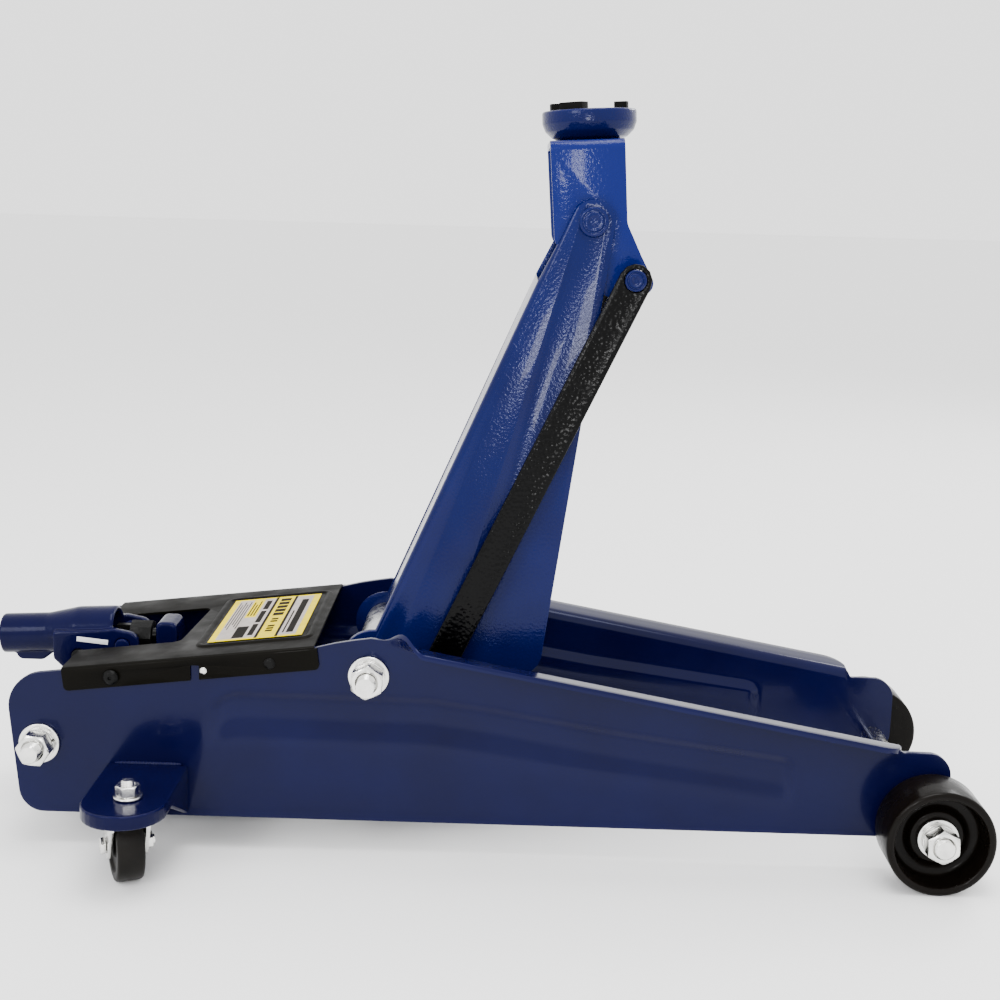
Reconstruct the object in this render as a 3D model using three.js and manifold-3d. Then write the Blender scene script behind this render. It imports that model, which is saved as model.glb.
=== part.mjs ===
// A trolley jack (floor jack) with its lift arm raised, in millimetres, +Z up.
// x is measured from the front axle towards the nose, y from the middle plane, z from the ground.
// The near side is -Y, the far side +Y. The finished group is moved so that its origin is
// the middle of its footprint.
import * as THREE from "three";
import { mergeVertices } from "three/addons/utils/BufferGeometryUtils.js";
import Module from "manifold-3d";

const wasm = await Module();
wasm.setup();

// ---------- driving dimensions ----------
const GAP = 0.3; // between pieces that touch

// side plates
const chassisWidth = 153; // over the outer faces of the two plates
const plateThickness = 3.5;
const plateRear = -581; // x of the rear edge at its top corner
const plateFoot = -573; // x of the rear edge at its bottom corner
const plateNose = 13; // x of the nose
const plateBottom = 22; // z of the bottom edge
const plateRearTop = 111; // z of the rear top corner
const crestX = -349;
const crestZ = 142.5;
const crestFootX = -385; // where the top edge turns up to the crest
const crestFootZ = 134.3;
const flangeEndX = -21; // front end of the outward top flange
const flangeEndZ = 84;
const flangeStartX = -338;
const flangeWidth = 20;
const flangeRise = 6; // degrees above level, across the flange
const noseTop = 78;
const grooveWidth = 8;
const grooveDepth = 1.4;

// fasteners
const threadR = 6; // M12 threads of the shaft ends
const nutFlats = 19;
const nutHeight = 10;
const washerR = 12.8;
const washerT = 2.5;
const lockWasherR = 10.4;
const lockWasherT = 3;
const threadStandOut = 7.2; // thread end past the nut

// front wheels
const wheelR = 33.5;
const wheelWidth = 33.5;
const wheelPlateGap = 4;
const wheelRim = 5;
const wheelDish = 12; // depth of the dished outer side
const wheelHubR = 15;
const axleR = 8;
const journalClearance = 0.25;
const wheelPlay = 0.4;

// lift arm: s runs along the arm from its pivot to its eye, t to its front and lower side
const armPivot = [-352, 118];
const armLength = 308.7;
const armRestAngle = 65.1; // degrees above level, fully raised
const armWidth = 100;
const armSheet = 4;
const pivotR = 9;
const armHeelR = 21;
const armEyeR = 13;
const armToeS = 43; // the deep front corner of the cheeks
const armToeT = 98;
const armToeR = 14;
const leverLength = 58;
const leverAngle = 36.25; // lever pin ahead of straight down, fully raised
const leverPinR = 8;
const leverEarR = 17;
const webStart = [26, -7.2];
const webEndBack = 46.7; // the web stops this far before the eye
const webEndRise = -14.4;
const heelWrap = 0.12; // radians, how far the heel curls over the end of the web
const eyePinR = 7.5;
const eyePinHeadR = 8.9;
const eyePinHeadT = 2.6;
const sleeveR = 13.5;

// parallel links and saddle bracket
const linkOffset = [26, -34]; // from each arm pivot to the matching link pivot
const linkWidth = 20;
const linkSheet = 6;
const linkPinR = 6.5;
const linkGap = 2.5; // between the arm cheek and the link
const bracketSheet = 4;
const bracketGap = 0.5; // between the arm cheek and the bracket
const bracketTilt = 3.5; // degrees, front side up
const bracketTop = 48.5; // top face above the eye
const bracketRear = -25;
const bracketFront = 19.8;
const stemR = 9.5;
const saddleR = 29.5;
const stemOffset = 3.4; // of the saddle's stem ahead of the middle of the bracket
const saddleHeight = 18.6;
const saddleWall = 3.6;
const saddleFloor = 8.5;
const padT = 5;
const lugRise = 4.4; // of the rubber lugs above the rim
const lugAngles = [-32, 86, 208, 268]; // degrees round the saddle from the near side

// hydraulic unit
const ramZ = 66;
const ramRodR = 11;
const ramRodRear = -426; // rear end of the rod, fully out
const cylinderBoreR = 16;
const cylinderR = 21;
const reservoirR = 34;
const reservoirWall = 2.5;
const reservoirFront = -414;
const glandLength = 12;
const blockRear = -572;
const blockFront = -486;
const blockBottom = 34;
const blockTop = 90;
const blockHalfWidth = 33;
const lugInner = 10.8; // of the two lugs that carry the handle socket
const lugOuter = 14;
const cylinderSeat = 16; // depth of the cylinder in the block
const bossLength = 14; // of the release valve's boss on the block
const bossHalf = 12;
const tiePoint = [-558, 68]; // of the two studs that join the block to the plates
const tieArmR = 17; // of the block's arms round the studs
const studStart = 26; // inner end of each tie stud, screwed into the block
const spindleZ = 117;
const spindleR = 4.5;
const knuckleR = 10;
const crossheadHalf = 20;
const crossheadRear = 18; // behind the lever pin
const crossheadFront = 15;
const crossheadBottom = 44;
const crossheadTop = 88;
const pinPlay = 1.2; // fore and aft, in the crosshead slot

// handle socket and pump
const socketPivot = [-520, 115];
const rollerPin = [-549, 107];
const socketTilt = 3; // degrees, mouth lower than the front
const socketMouth = -604;
const socketR = 13.2;
const socketBoreR = 10.4;
const socketBoreEnd = -566;
const socketAxisZ = 119.5; // at the pivot end
const cheekHalf = 20;
const cheekT = 5;
const socketPinR = 4.6;
const rollerR = 6.5;
const plungerR = 7;
const plungerX = -549;
const plungerLength = 44;
const plungerHeadR = 11;

// cover plate
const coverRear = -543;
const coverFront = -386;
const coverSheet = 1.5;
const coverDrop = 13; // flange height outside the plates
const coverOpeningHalf = 40;
const coverOpeningEnd = -477;
const labelLength = 60;
const labelWidth = 100;
const labelX = -427;
const labelT = 0.5;
const screwX = -512;
const screwR = 2.6;
const screwHeadR = 4.8;
const screwHeadT = 3;

// rear casters
const shelfAboveWheel = 11; // top of the shelf above the top of the caster wheel
const shelfSheet = 4;
const shelfRear = -515.5;
const shelfFront = -465;
const shelfRim = 29; // from the kingpin to the outer rim of the shelf
const shelfCornerR = 24;
const skirtDrop = 9; // of the lip at the rim
const gussetDrop = 31; // of the side skirts at the plate
const gussetReach = 46;
const kingpinX = -489;
const casterRoom = 20.5; // between the plate and the caster wheel turned towards it
const kingpinR = 4;
const kingpinFlats = 13;
const casterR = 22.5;
const casterWidth = 16.5;
const casterTrail = 12;
const casterTurn = 24; // degrees, the caster's rest heading
const forkSheet = 2.5;
const forkSideGap = 1.2;
const forkDiscR = 16;
const casterAxleR = 3;

// ---------- sizes worked out from them ----------
const halfWidth = chassisWidth / 2;
const innerFace = halfWidth - plateThickness;
const topSlope = (crestFootZ - plateRearTop) / (crestFootX - plateRear); // rear part of the top edge
const topEdgeZ = (x) => crestFootZ + (x - crestFootX) * topSlope;
const flangeSlope = (flangeEndZ - crestZ) / (flangeEndX - crestX);
const flangeZ = (x) => flangeEndZ + (x - flangeEndX) * flangeSlope;
const radians = THREE.MathUtils.degToRad;
const armDir = [Math.cos(radians(armRestAngle)), Math.sin(radians(armRestAngle))];
const armSide = [armDir[1], -armDir[0]];
const onArm = (s, t) => [
  armPivot[0] + s * armDir[0] + t * armSide[0],
  armPivot[1] + s * armDir[1] + t * armSide[1],
];
const eye = onArm(armLength, 0);
const webEnd = [armLength - webEndBack, webEndRise];
const toeCentre = onArm(armToeS + armToeR * 0.35, armToeT - armToeR * 1.25);
const cheekOuter = armWidth / 2;
const cheekInner = cheekOuter - armSheet;
const leverPin = [
  armPivot[0] + leverLength * Math.sin(radians(leverAngle)),
  armPivot[1] - leverLength * Math.cos(radians(leverAngle)),
];
const leverPinLow = armPivot[1] - leverLength;
const linkInner = cheekOuter + linkGap;
const linkOuter = linkInner + linkSheet;
const linkTop = [eye[0] + linkOffset[0], eye[1] + linkOffset[1]];
const linkFoot = [armPivot[0] + linkOffset[0], armPivot[1] + linkOffset[1]];
const bracketOuter = cheekInner - bracketGap;
const bracketInner = bracketOuter - bracketSheet;
const plungerTop = rollerPin[1] - rollerR - GAP;
const wheelInner = halfWidth + wheelPlateGap;
const wheelOuter = wheelInner + wheelWidth;
const wheelFloor = wheelOuter - wheelDish;
const shelfTop = 2 * casterR + shelfAboveWheel;
const shelfBottom = shelfTop - shelfSheet;
const kingpinReach = casterTrail + casterR + casterRoom; // past the plate's outer face
const shelfReach = kingpinReach + shelfRim;

// ---------- helpers ----------
function solid(geometry) {
  geometry.deleteAttribute("normal");
  geometry.deleteAttribute("uv");
  const merged = mergeVertices(geometry, 1e-4);
  return new wasm.Manifold(
    new wasm.Mesh({
      numProp: 3,
      vertProperties: merged.attributes.position.array,
      triVerts: new Uint32Array(merged.index.array),
    }),
  );
}

function geometryOf(shape) {
  const mesh = shape.getMesh();
  const positions = new Float32Array(mesh.numVert * 3);
  for (let i = 0; i < mesh.numVert; i++)
    positions.set(mesh.vertProperties.subarray(i * mesh.numProp, i * mesh.numProp + 3), i * 3);
  const geometry = new THREE.BufferGeometry();
  geometry.setAttribute("position", new THREE.BufferAttribute(positions, 3));
  geometry.setIndex(new THREE.BufferAttribute(mesh.triVerts, 1));
  geometry.computeVertexNormals();
  return geometry;
}

const join = (...solids) => solids.reduce((a, b) => a.add(b));
const cut = (body, ...tools) => tools.reduce((a, b) => a.subtract(b), body);

// An outline whose corners [x, z, radius] are rounded with arcs.
function roundedShape(corners) {
  const shape = new THREE.Shape();
  const count = corners.length;
  corners.forEach(([x, z, r], i) => {
    const before = corners[(i + count - 1) % count];
    const after = corners[(i + 1) % count];
    const here = new THREE.Vector2(x, z);
    const back = new THREE.Vector2(before[0], before[1]).sub(here).normalize();
    const ahead = new THREE.Vector2(after[0], after[1]).sub(here).normalize();
    const half = Math.acos(THREE.MathUtils.clamp(back.dot(ahead), -1, 1)) / 2;
    if (!r) {
      if (i === 0) shape.moveTo(x, z);
      else shape.lineTo(x, z);
      return;
    }
    const reach = r / Math.tan(half);
    const start = here.clone().addScaledVector(back, reach);
    const end = here.clone().addScaledVector(ahead, reach);
    const centre = here.clone().addScaledVector(back.clone().add(ahead).normalize(), r / Math.sin(half));
    const from = start.clone().sub(centre).angle();
    const to = end.clone().sub(centre).angle();
    const clockwise = back.cross(ahead) > 0;
    if (i === 0) shape.moveTo(start.x, start.y);
    else shape.lineTo(start.x, start.y);
    shape.absarc(centre.x, centre.y, r, from, to, clockwise);
  });
  return shape;
}

// A slab of an (x, z) outline between two y values.
function slabY(shape, yLow, yHigh, segments = 3) {
  const geometry = new THREE.ExtrudeGeometry(shape, {
    depth: yHigh - yLow,
    bevelEnabled: false,
    curveSegments: segments,
  });
  return solid(geometry.rotateX(Math.PI / 2).translate(0, yHigh, 0));
}

// A slab of an (x, y) outline between two z values.
function slabZ(shape, zLow, zHigh, segments = 3) {
  const geometry = new THREE.ExtrudeGeometry(shape, {
    depth: zHigh - zLow,
    bevelEnabled: false,
    curveSegments: segments,
  });
  return solid(geometry.translate(0, 0, zLow));
}

function box(xLow, xHigh, yLow, yHigh, zLow, zHigh) {
  const geometry = new THREE.BoxGeometry(xHigh - xLow, yHigh - yLow, zHigh - zLow);
  return solid(geometry.translate((xLow + xHigh) / 2, (yLow + yHigh) / 2, (zLow + zHigh) / 2));
}

function cylinder(radius, length, segments) {
  return new THREE.CylinderGeometry(radius, radius, length, segments);
}

function rodY([x, z], radius, yLow, yHigh, segments = 20) {
  return solid(cylinder(radius, yHigh - yLow, segments).translate(x, (yLow + yHigh) / 2, z));
}

function rodX(y, z, radius, xLow, xHigh, segments = 28) {
  const geometry = cylinder(radius, xHigh - xLow, segments).rotateZ(Math.PI / 2);
  return solid(geometry.translate((xLow + xHigh) / 2, y, z));
}

function rodZ(x, y, radius, zLow, zHigh, segments = 20) {
  const geometry = cylinder(radius, zHigh - zLow, segments).rotateX(Math.PI / 2);
  return solid(geometry.translate(x, y, (zLow + zHigh) / 2));
}

// A ring along Y from |y| = yLow to yHigh, on the side that sign gives.
function ringY(centre, outer, inner, sign, yLow, yHigh, segments = 20) {
  const low = Math.min(sign * yLow, sign * yHigh);
  const high = Math.max(sign * yLow, sign * yHigh);
  return cut(
    rodY(centre, outer, low, high, segments),
    rodY(centre, inner, low - 1, high + 1, segments),
  );
}

// A body turned about the Z axis from [radius, height] points, the first and last on one radius.
function turned(profile, segments = 40) {
  const points = profile.map(([r, h]) => new THREE.Vector2(r, h));
  points.push(points[0].clone());
  return new THREE.LatheGeometry(points, segments).rotateX(Math.PI / 2);
}

function solidTurned(profile, segments = 40) {
  const points = profile.map(([r, h]) => new THREE.Vector2(r, h));
  return new THREE.LatheGeometry(points, segments).rotateX(Math.PI / 2);
}

const finishes = {
  paint: [0x0b1150, 0.22, 0.1],
  blackPaint: [0x14120f, 0.35, 0.1],
  blackSteel: [0x17171a, 0.5, 0.6],
  zinc: [0xc9c7c0, 0.3, 0.9],
  steel: [0xa8a9ab, 0.3, 0.95],
  wheelIron: [0x120f0e, 0.4, 0.2],
  rubber: [0x0d0d0d, 0.85, 0],
  label: [0xd9b93a, 0.45, 0],
};

const jack = new THREE.Group();

function add(name, shape, finish, parent = jack) {
  const [color, roughness, metalness] = finishes[finish];
  const material = new THREE.MeshStandardMaterial({ color, roughness, metalness });
  const geometry = shape.isBufferGeometry ? shape : geometryOf(shape);
  const mesh = new THREE.Mesh(geometry, material);
  mesh.name = name;
  parent.add(mesh);
  return mesh;
}

const sides = [
  ["near", -1],
  ["far", 1],
];
const between = (sign, a, b) => (sign < 0 ? [-b, -a] : [a, b]);

// ---------- side plates ----------
function plateOutline() {
  return roundedShape([
    [plateFoot, plateBottom, 14],
    [plateNose, plateBottom, 14],
    [plateNose, noseTop - 2, 15],
    [flangeEndX + 3, noseTop + 0.6, 0],
    [flangeEndX, flangeEndZ, 0],
    [crestX, crestZ, 24],
    [crestFootX, crestFootZ, 12],
    [plateRear, plateRearTop, 22],
  ]);
}

const groovePath = [
  [-454, 83],
  [-435, 102],
  [-330, 102.5],
  [-207, 86],
  [-88, 69],
];

// A band of one width along a path, with round ends and corners.
function band(path, width, yLow, yHigh) {
  const pieces = [];
  path.forEach(([x, z], i) => {
    pieces.push(rodY([x, z], width / 2, yLow, yHigh, 16));
    if (i === 0) return;
    const [px, pz] = path[i - 1];
    const length = Math.hypot(x - px, z - pz);
    const bar = new THREE.BoxGeometry(length, yHigh - yLow, width);
    bar.rotateY(-Math.atan2(z - pz, x - px));
    bar.translate((x + px) / 2, (yLow + yHigh) / 2, (z + pz) / 2);
    pieces.push(solid(bar));
  });
  return join(...pieces);
}

function topFlange(sign) {
  const length = Math.hypot(flangeEndX - flangeStartX, flangeZ(flangeEndX) - flangeZ(flangeStartX));
  const outline = roundedShape([
    [0, -plateThickness + 0.2, 0],
    [length, -plateThickness + 0.2, 0],
    [length, flangeWidth, 17],
    [0, flangeWidth, 18],
  ]);
  const geometry = new THREE.ExtrudeGeometry(outline, {
    depth: plateThickness,
    bevelEnabled: false,
    curveSegments: 4,
  });
  geometry.translate(0, 0, -plateThickness);
  if (sign < 0) geometry.scale(1, -1, 1);
  const rise = radians(flangeRise) * sign;
  geometry.rotateX(rise);
  geometry.rotateY(-Math.atan(flangeSlope));
  geometry.translate(flangeStartX, sign * halfWidth, flangeZ(flangeStartX));
  if (sign < 0) flipWinding(geometry);
  return solid(geometry);
}

function flipWinding(geometry) {
  const position = geometry.getAttribute("position");
  const swap = new THREE.Vector3();
  const other = new THREE.Vector3();
  for (let i = 0; i < position.count; i += 3) {
    swap.fromBufferAttribute(position, i);
    other.fromBufferAttribute(position, i + 1);
    position.setXYZ(i, other.x, other.y, other.z);
    position.setXYZ(i + 1, swap.x, swap.y, swap.z);
  }
}

function sidePlate(sign) {
  const [low, high] = between(sign, innerFace, halfWidth);
  const outer = between(sign, halfWidth - grooveDepth, halfWidth + 1);
  const inner = between(sign, innerFace - grooveDepth, innerFace + 0.5);
  const wall = slabY(plateOutline(), low, high);
  const pressed = join(wall, topFlange(sign), band(groovePath, grooveWidth - 1.5, ...inner));
  return cut(
    pressed,
    band(groovePath, grooveWidth, ...outer),
    rodY([0, wheelR], axleR + GAP, low - 1, high + 1),
    rodY(armPivot, threadR + GAP, low - 1, high + 1),
    rodY(tiePoint, threadR + GAP, low - 1, high + 1),
    rodY([screwX, topEdgeZ(screwX) - coverDrop / 2], screwR + GAP, low - 1, high + 1, 16),
  );
}

for (const [side, sign] of sides) add(side + "_side_plate", sidePlate(sign), "paint");

// ---------- shafts, washers and nuts ----------
function hexNut(centre, sign, yLow) {
  const [low, high] = between(sign, yLow, yLow + nutHeight);
  const corner = nutFlats / Math.sqrt(3);
  const hex = rodY(centre, corner, low, high, 6);
  const chamfer = rodY(centre, corner * 0.955, low, high, 32);
  const face = between(sign, yLow, yLow + nutHeight - 1.2);
  const bore = rodY(centre, threadR + GAP, low - 1, high + 1);
  return cut(hex.intersect(join(chamfer, rodY(centre, corner + 1, ...face, 32))), bore);
}

// The flat washer against the face at yLow, with the lock washer on it.
function washerStack(centre, sign, yLow) {
  const flat = ringY(centre, washerR, threadR + GAP, sign, yLow, yLow + washerT);
  const lock = ringY(
    centre,
    lockWasherR,
    threadR + GAP,
    sign,
    yLow + washerT - 0.1,
    yLow + washerT + lockWasherT,
  );
  return join(flat, lock);
}

// A round shaft with a plain middle and a thread at each end.
function threadedShaft(centre, radius, plainHalf, threadEnd) {
  return join(
    rodY(centre, radius, -plainHalf, plainHalf),
    rodY(centre, threadR, -threadEnd, threadEnd, 24),
  );
}

const stackEnd = halfWidth + GAP + washerT + lockWasherT;
const boltEnd = stackEnd + GAP + nutHeight + threadStandOut;
add("arm_pivot_shaft", threadedShaft(armPivot, pivotR, innerFace - GAP, boltEnd), "zinc");
for (const [side, sign] of sides) {
  add(side + "_tie_stud", rodY(tiePoint, threadR, ...between(sign, studStart, boltEnd)), "zinc");
  for (const [name, centre] of [
    ["pivot", armPivot],
    ["tie", tiePoint],
  ]) {
    add(side + "_" + name + "_washers", washerStack(centre, sign, halfWidth + GAP), "zinc");
    add(side + "_" + name + "_nut", hexNut(centre, sign, stackEnd + GAP), "zinc");
  }
}

// ---------- front axle and wheels ----------
const axleCentre = [0, wheelR];
const journalEnd = wheelFloor + wheelPlay;
const axleWasherStart = journalEnd + GAP;
const axleNutStart = axleWasherStart + washerT + lockWasherT + GAP;
const axleEnd = axleNutStart + nutHeight + 3.5;

function frontAxle() {
  const collar = wheelInner - GAP;
  return join(
    threadedShaft(axleCentre, axleR, journalEnd, axleEnd),
    rodY(axleCentre, axleR + 4, halfWidth + GAP, collar),
    rodY(axleCentre, axleR + 4, -collar, -halfWidth - GAP),
  );
}

function frontWheel() {
  // turned about its own axis, inner face at height 0
  const bore = axleR + journalClearance;
  const inside = wheelR - wheelRim;
  const floor = wheelWidth - wheelDish;
  return turned(
    [
      [bore, 0],
      [wheelR - 2, 0],
      [wheelR, 2],
      [wheelR, wheelWidth - 2.5],
      [wheelR - 1.5, wheelWidth],
      [inside + 1, wheelWidth],
      [inside, wheelWidth - 1],
      [inside - 1, floor - 4],
      [inside - 3, floor - 5.5],
      [wheelHubR + 4, floor - 5.5],
      [wheelHubR, floor],
      [bore, floor],
    ],
    36,
  );
}

add("front_axle", frontAxle(), "zinc");
for (const [side, sign] of sides) {
  const wheel = add(side + "_front_wheel", frontWheel(), "wheelIron");
  wheel.rotation.x = (-sign * Math.PI) / 2;
  wheel.position.set(0, sign * wheelInner, wheelR);
  add(side + "_wheel_washer", washerStack(axleCentre, sign, axleWasherStart), "zinc");
  add(side + "_wheel_nut", hexNut(axleCentre, sign, axleNutStart), "zinc");
}

// ---------- lift arm ----------
function tangentPoints([ax, az], aR, [bx, bz], bR, side) {
  // outer tangent of two circles, on the given side of the line from a to b
  const length = Math.hypot(bx - ax, bz - az);
  const angle = Math.atan2(bz - az, bx - ax) + side * Math.acos((aR - bR) / length);
  return [
    [ax + aR * Math.cos(angle), az + aR * Math.sin(angle)],
    [bx + bR * Math.cos(angle), bz + bR * Math.sin(angle)],
  ];
}

function cheekOutline() {
  // round the heel, the lever ear and the eye, with straight edges between them
  const shape = new THREE.Shape();
  const [heelOut, leverIn] = tangentPoints(armPivot, armHeelR, leverPin, leverEarR, -1);
  const [leverOut, toeIn] = tangentPoints(leverPin, leverEarR, toeCentre, armToeR, -1);
  const [toeOut, eyeIn] = tangentPoints(toeCentre, armToeR, eye, armEyeR, -1);
  const angleOf = (centre, point) => Math.atan2(point[1] - centre[1], point[0] - centre[0]);
  const webAngle = angleOf(armPivot, onArm(...webStart)) + heelWrap;
  const topTangent = onArm(webEnd[0], webEnd[1]);
  const eyeLeft = tangentFrom(topTangent, eye, armEyeR);
  shape.moveTo(...onArm(...webStart));
  shape.absarc(...armPivot, armHeelR, webAngle, angleOf(armPivot, heelOut), false);
  shape.lineTo(...leverIn);
  shape.absarc(...leverPin, leverEarR, angleOf(leverPin, leverIn), angleOf(leverPin, leverOut), false);
  shape.absarc(...toeCentre, armToeR, angleOf(toeCentre, toeIn), angleOf(toeCentre, toeOut), false);
  shape.absarc(...eye, armEyeR, angleOf(eye, eyeIn), angleOf(eye, eyeLeft), false);
  shape.lineTo(...topTangent);
  shape.closePath();
  return shape;
}

// The point where a line from a point touches a circle, on the far side of the arm.
function tangentFrom(point, centre, radius) {
  const dx = point[0] - centre[0];
  const dz = point[1] - centre[1];
  const angle = Math.atan2(dz, dx) - Math.acos(radius / Math.hypot(dx, dz));
  return [centre[0] + radius * Math.cos(angle), centre[1] + radius * Math.sin(angle)];
}

function liftArm() {
  const cheek = cheekOutline();
  const web = new THREE.Shape(
    [
      [webStart[0], webStart[1]],
      [webEnd[0], webEnd[1]],
      [webEnd[0], webEnd[1] + armSheet],
      [webStart[0], webStart[1] + armSheet],
    ].map(([s, t]) => new THREE.Vector2(...onArm(s, t))),
  );
  const body = join(
    slabY(cheek, -cheekOuter, -cheekInner, 6),
    slabY(cheek, cheekInner, cheekOuter, 6),
    slabY(web, -cheekInner - 1, cheekInner + 1),
  );
  return cut(
    body,
    rodY(armPivot, pivotR + GAP, -cheekOuter - 1, cheekOuter + 1),
    rodY(eye, eyePinR + GAP, -cheekOuter - 1, cheekOuter + 1),
    rodY(leverPin, leverPinR + GAP, -cheekOuter - 1, cheekOuter + 1),
  );
}

add("lift_arm", liftArm(), "paint");
add(
  "arm_pivot_sleeve",
  cut(
    rodY(armPivot, sleeveR, -cheekInner + GAP, cheekInner - GAP),
    rodY(armPivot, pivotR + GAP, -cheekInner, cheekInner),
  ),
  "steel",
);
const eyePinEnd = cheekOuter + GAP + eyePinHeadT;
add(
  "arm_top_pin",
  join(
    rodY(eye, eyePinR, -eyePinEnd, eyePinEnd),
    rodY(eye, eyePinHeadR, cheekOuter + GAP, eyePinEnd),
    rodY(eye, eyePinHeadR, -eyePinEnd, -cheekOuter - GAP),
  ),
  "paint",
);
add("lever_pin", rodY(leverPin, leverPinR, -cheekOuter + 0.5, cheekOuter - 0.5), "steel");

// ---------- parallel links ----------
function link(sign) {
  const [low, high] = between(sign, linkInner, linkOuter);
  const [footA, topA] = tangentPoints(linkFoot, linkWidth / 2, linkTop, linkWidth / 2, 1);
  const shape = new THREE.Shape();
  const angle = Math.atan2(footA[1] - linkFoot[1], footA[0] - linkFoot[0]);
  shape.absarc(...linkFoot, linkWidth / 2, angle, angle + Math.PI, false);
  shape.absarc(...linkTop, linkWidth / 2, angle + Math.PI, angle + 2 * Math.PI, false);
  shape.lineTo(...footA);
  return cut(
    slabY(shape, low, high),
    rodY(linkFoot, linkPinR + GAP, low - 1, high + 1),
    rodY(linkTop, linkPinR + GAP, low - 1, high + 1),
  );
}

function linkStud(sign) {
  const collar = between(sign, linkOuter + GAP, innerFace - GAP);
  const pin = between(sign, linkInner - 1.5, innerFace - GAP);
  return join(rodY(linkFoot, linkPinR + 4.5, ...collar), rodY(linkFoot, linkPinR, ...pin));
}

for (const [side, sign] of sides) {
  add(side + "_link", link(sign), "blackSteel");
  add(side + "_link_stud", linkStud(sign), "steel");
}

// ---------- saddle bracket, saddle and its rubber pad ----------
const tilt = radians(bracketTilt);
const fromEye = (x, z) => [eye[0] + x, eye[1] + z];
const tiltedFromEye = (x, z) =>
  fromEye(x * Math.cos(tilt) - z * Math.sin(tilt), x * Math.sin(tilt) + z * Math.cos(tilt));

function bracketOutline(top) {
  const ear = linkPinR + 7;
  const [px, pz] = linkOffset;
  return roundedShape([
    [...tiltedFromEye(bracketRear, top), 0],
    [...tiltedFromEye(bracketRear + 1, -12), 9],
    [...fromEye(px - ear - 4, pz - ear + 3), 8],
    [...fromEye(px + 2, pz - ear), 8],
    [...fromEye(px + ear, pz - 4), 7],
    [...fromEye(px + 4, pz + ear), 10],
    [...tiltedFromEye(bracketFront + 0.5, -2), 12],
    [...tiltedFromEye(bracketFront, top), 0],
  ]);
}

function saddleBracket() {
  const top = new THREE.Shape(
    [
      [bracketRear, bracketTop - bracketSheet],
      [bracketFront, bracketTop - bracketSheet],
      [bracketFront, bracketTop],
      [bracketRear, bracketTop],
    ].map(([x, z]) => new THREE.Vector2(...tiltedFromEye(x, z))),
  );
  const side = bracketOutline(bracketTop);
  const body = join(
    slabY(side, -bracketOuter, -bracketInner),
    slabY(side, bracketInner, bracketOuter),
    slabY(top, -bracketInner - 1, bracketInner + 1),
  );
  const stemHole = solid(
    cylinder(stemR + GAP, 3 * bracketSheet, 32)
      .rotateX(Math.PI / 2)
      .translate(stemX, 0, bracketTop)
      .rotateY(-tilt)
      .translate(eye[0], 0, eye[1]),
  );
  return cut(
    body,
    stemHole,
    rodY(eye, eyePinR + GAP, -bracketOuter - 1, bracketOuter + 1),
    rodY(linkTop, linkPinR + GAP, -bracketOuter - 1, bracketOuter + 1),
  );
}

const stemX = (bracketRear + bracketFront) / 2 + stemOffset;
add("saddle_bracket", saddleBracket(), "paint");
const linkPinEnd = linkOuter + 1.5;
add("link_top_pin", rodY(linkTop, linkPinR, -linkPinEnd, linkPinEnd), "paint");

// The saddle and what is on it stand on the bracket's top, square to it.
const saddleFrame = new THREE.Group();
saddleFrame.position.set(...placeXZ(tiltedFromEye(stemX, bracketTop + GAP)));
saddleFrame.rotation.y = -tilt;
jack.add(saddleFrame);

function placeXZ([x, z]) {
  return [x, 0, z];
}

function saddleBody() {
  return solidTurned([
    [0, -bracketSheet - 5],
    [stemR, -bracketSheet - 5],
    [stemR, 0],
    [saddleR * 0.62, 0],
    [saddleR * 0.8, 2.2],
    [saddleR * 0.94, 6.2],
    [saddleR, 11],
    [saddleR, saddleHeight - 2],
    [saddleR - 1.2, saddleHeight],
    [saddleR - saddleWall, saddleHeight],
    [saddleR - saddleWall - 0.8, saddleFloor],
    [0, saddleFloor],
  ]);
}

function saddlePad() {
  const radius = saddleR - saddleWall - 1.4;
  const base = saddleFloor + GAP;
  const disc = rodZ(0, 0, radius, base, base + padT, 40);
  const lugs = lugAngles.map((angle) => {
    const lug = box(-8, 8, -radius, -radius + 9, base + padT - 0.5, saddleHeight + lugRise);
    const edge = rodZ(0, 0, radius, base, saddleHeight + lugRise, 40);
    return lug.rotate([0, 0, angle]).intersect(edge);
  });
  return join(disc, ...lugs);
}

add("saddle", saddleBody(), "paint", saddleFrame);
add("saddle_pad", saddlePad(), "rubber", saddleFrame);

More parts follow.
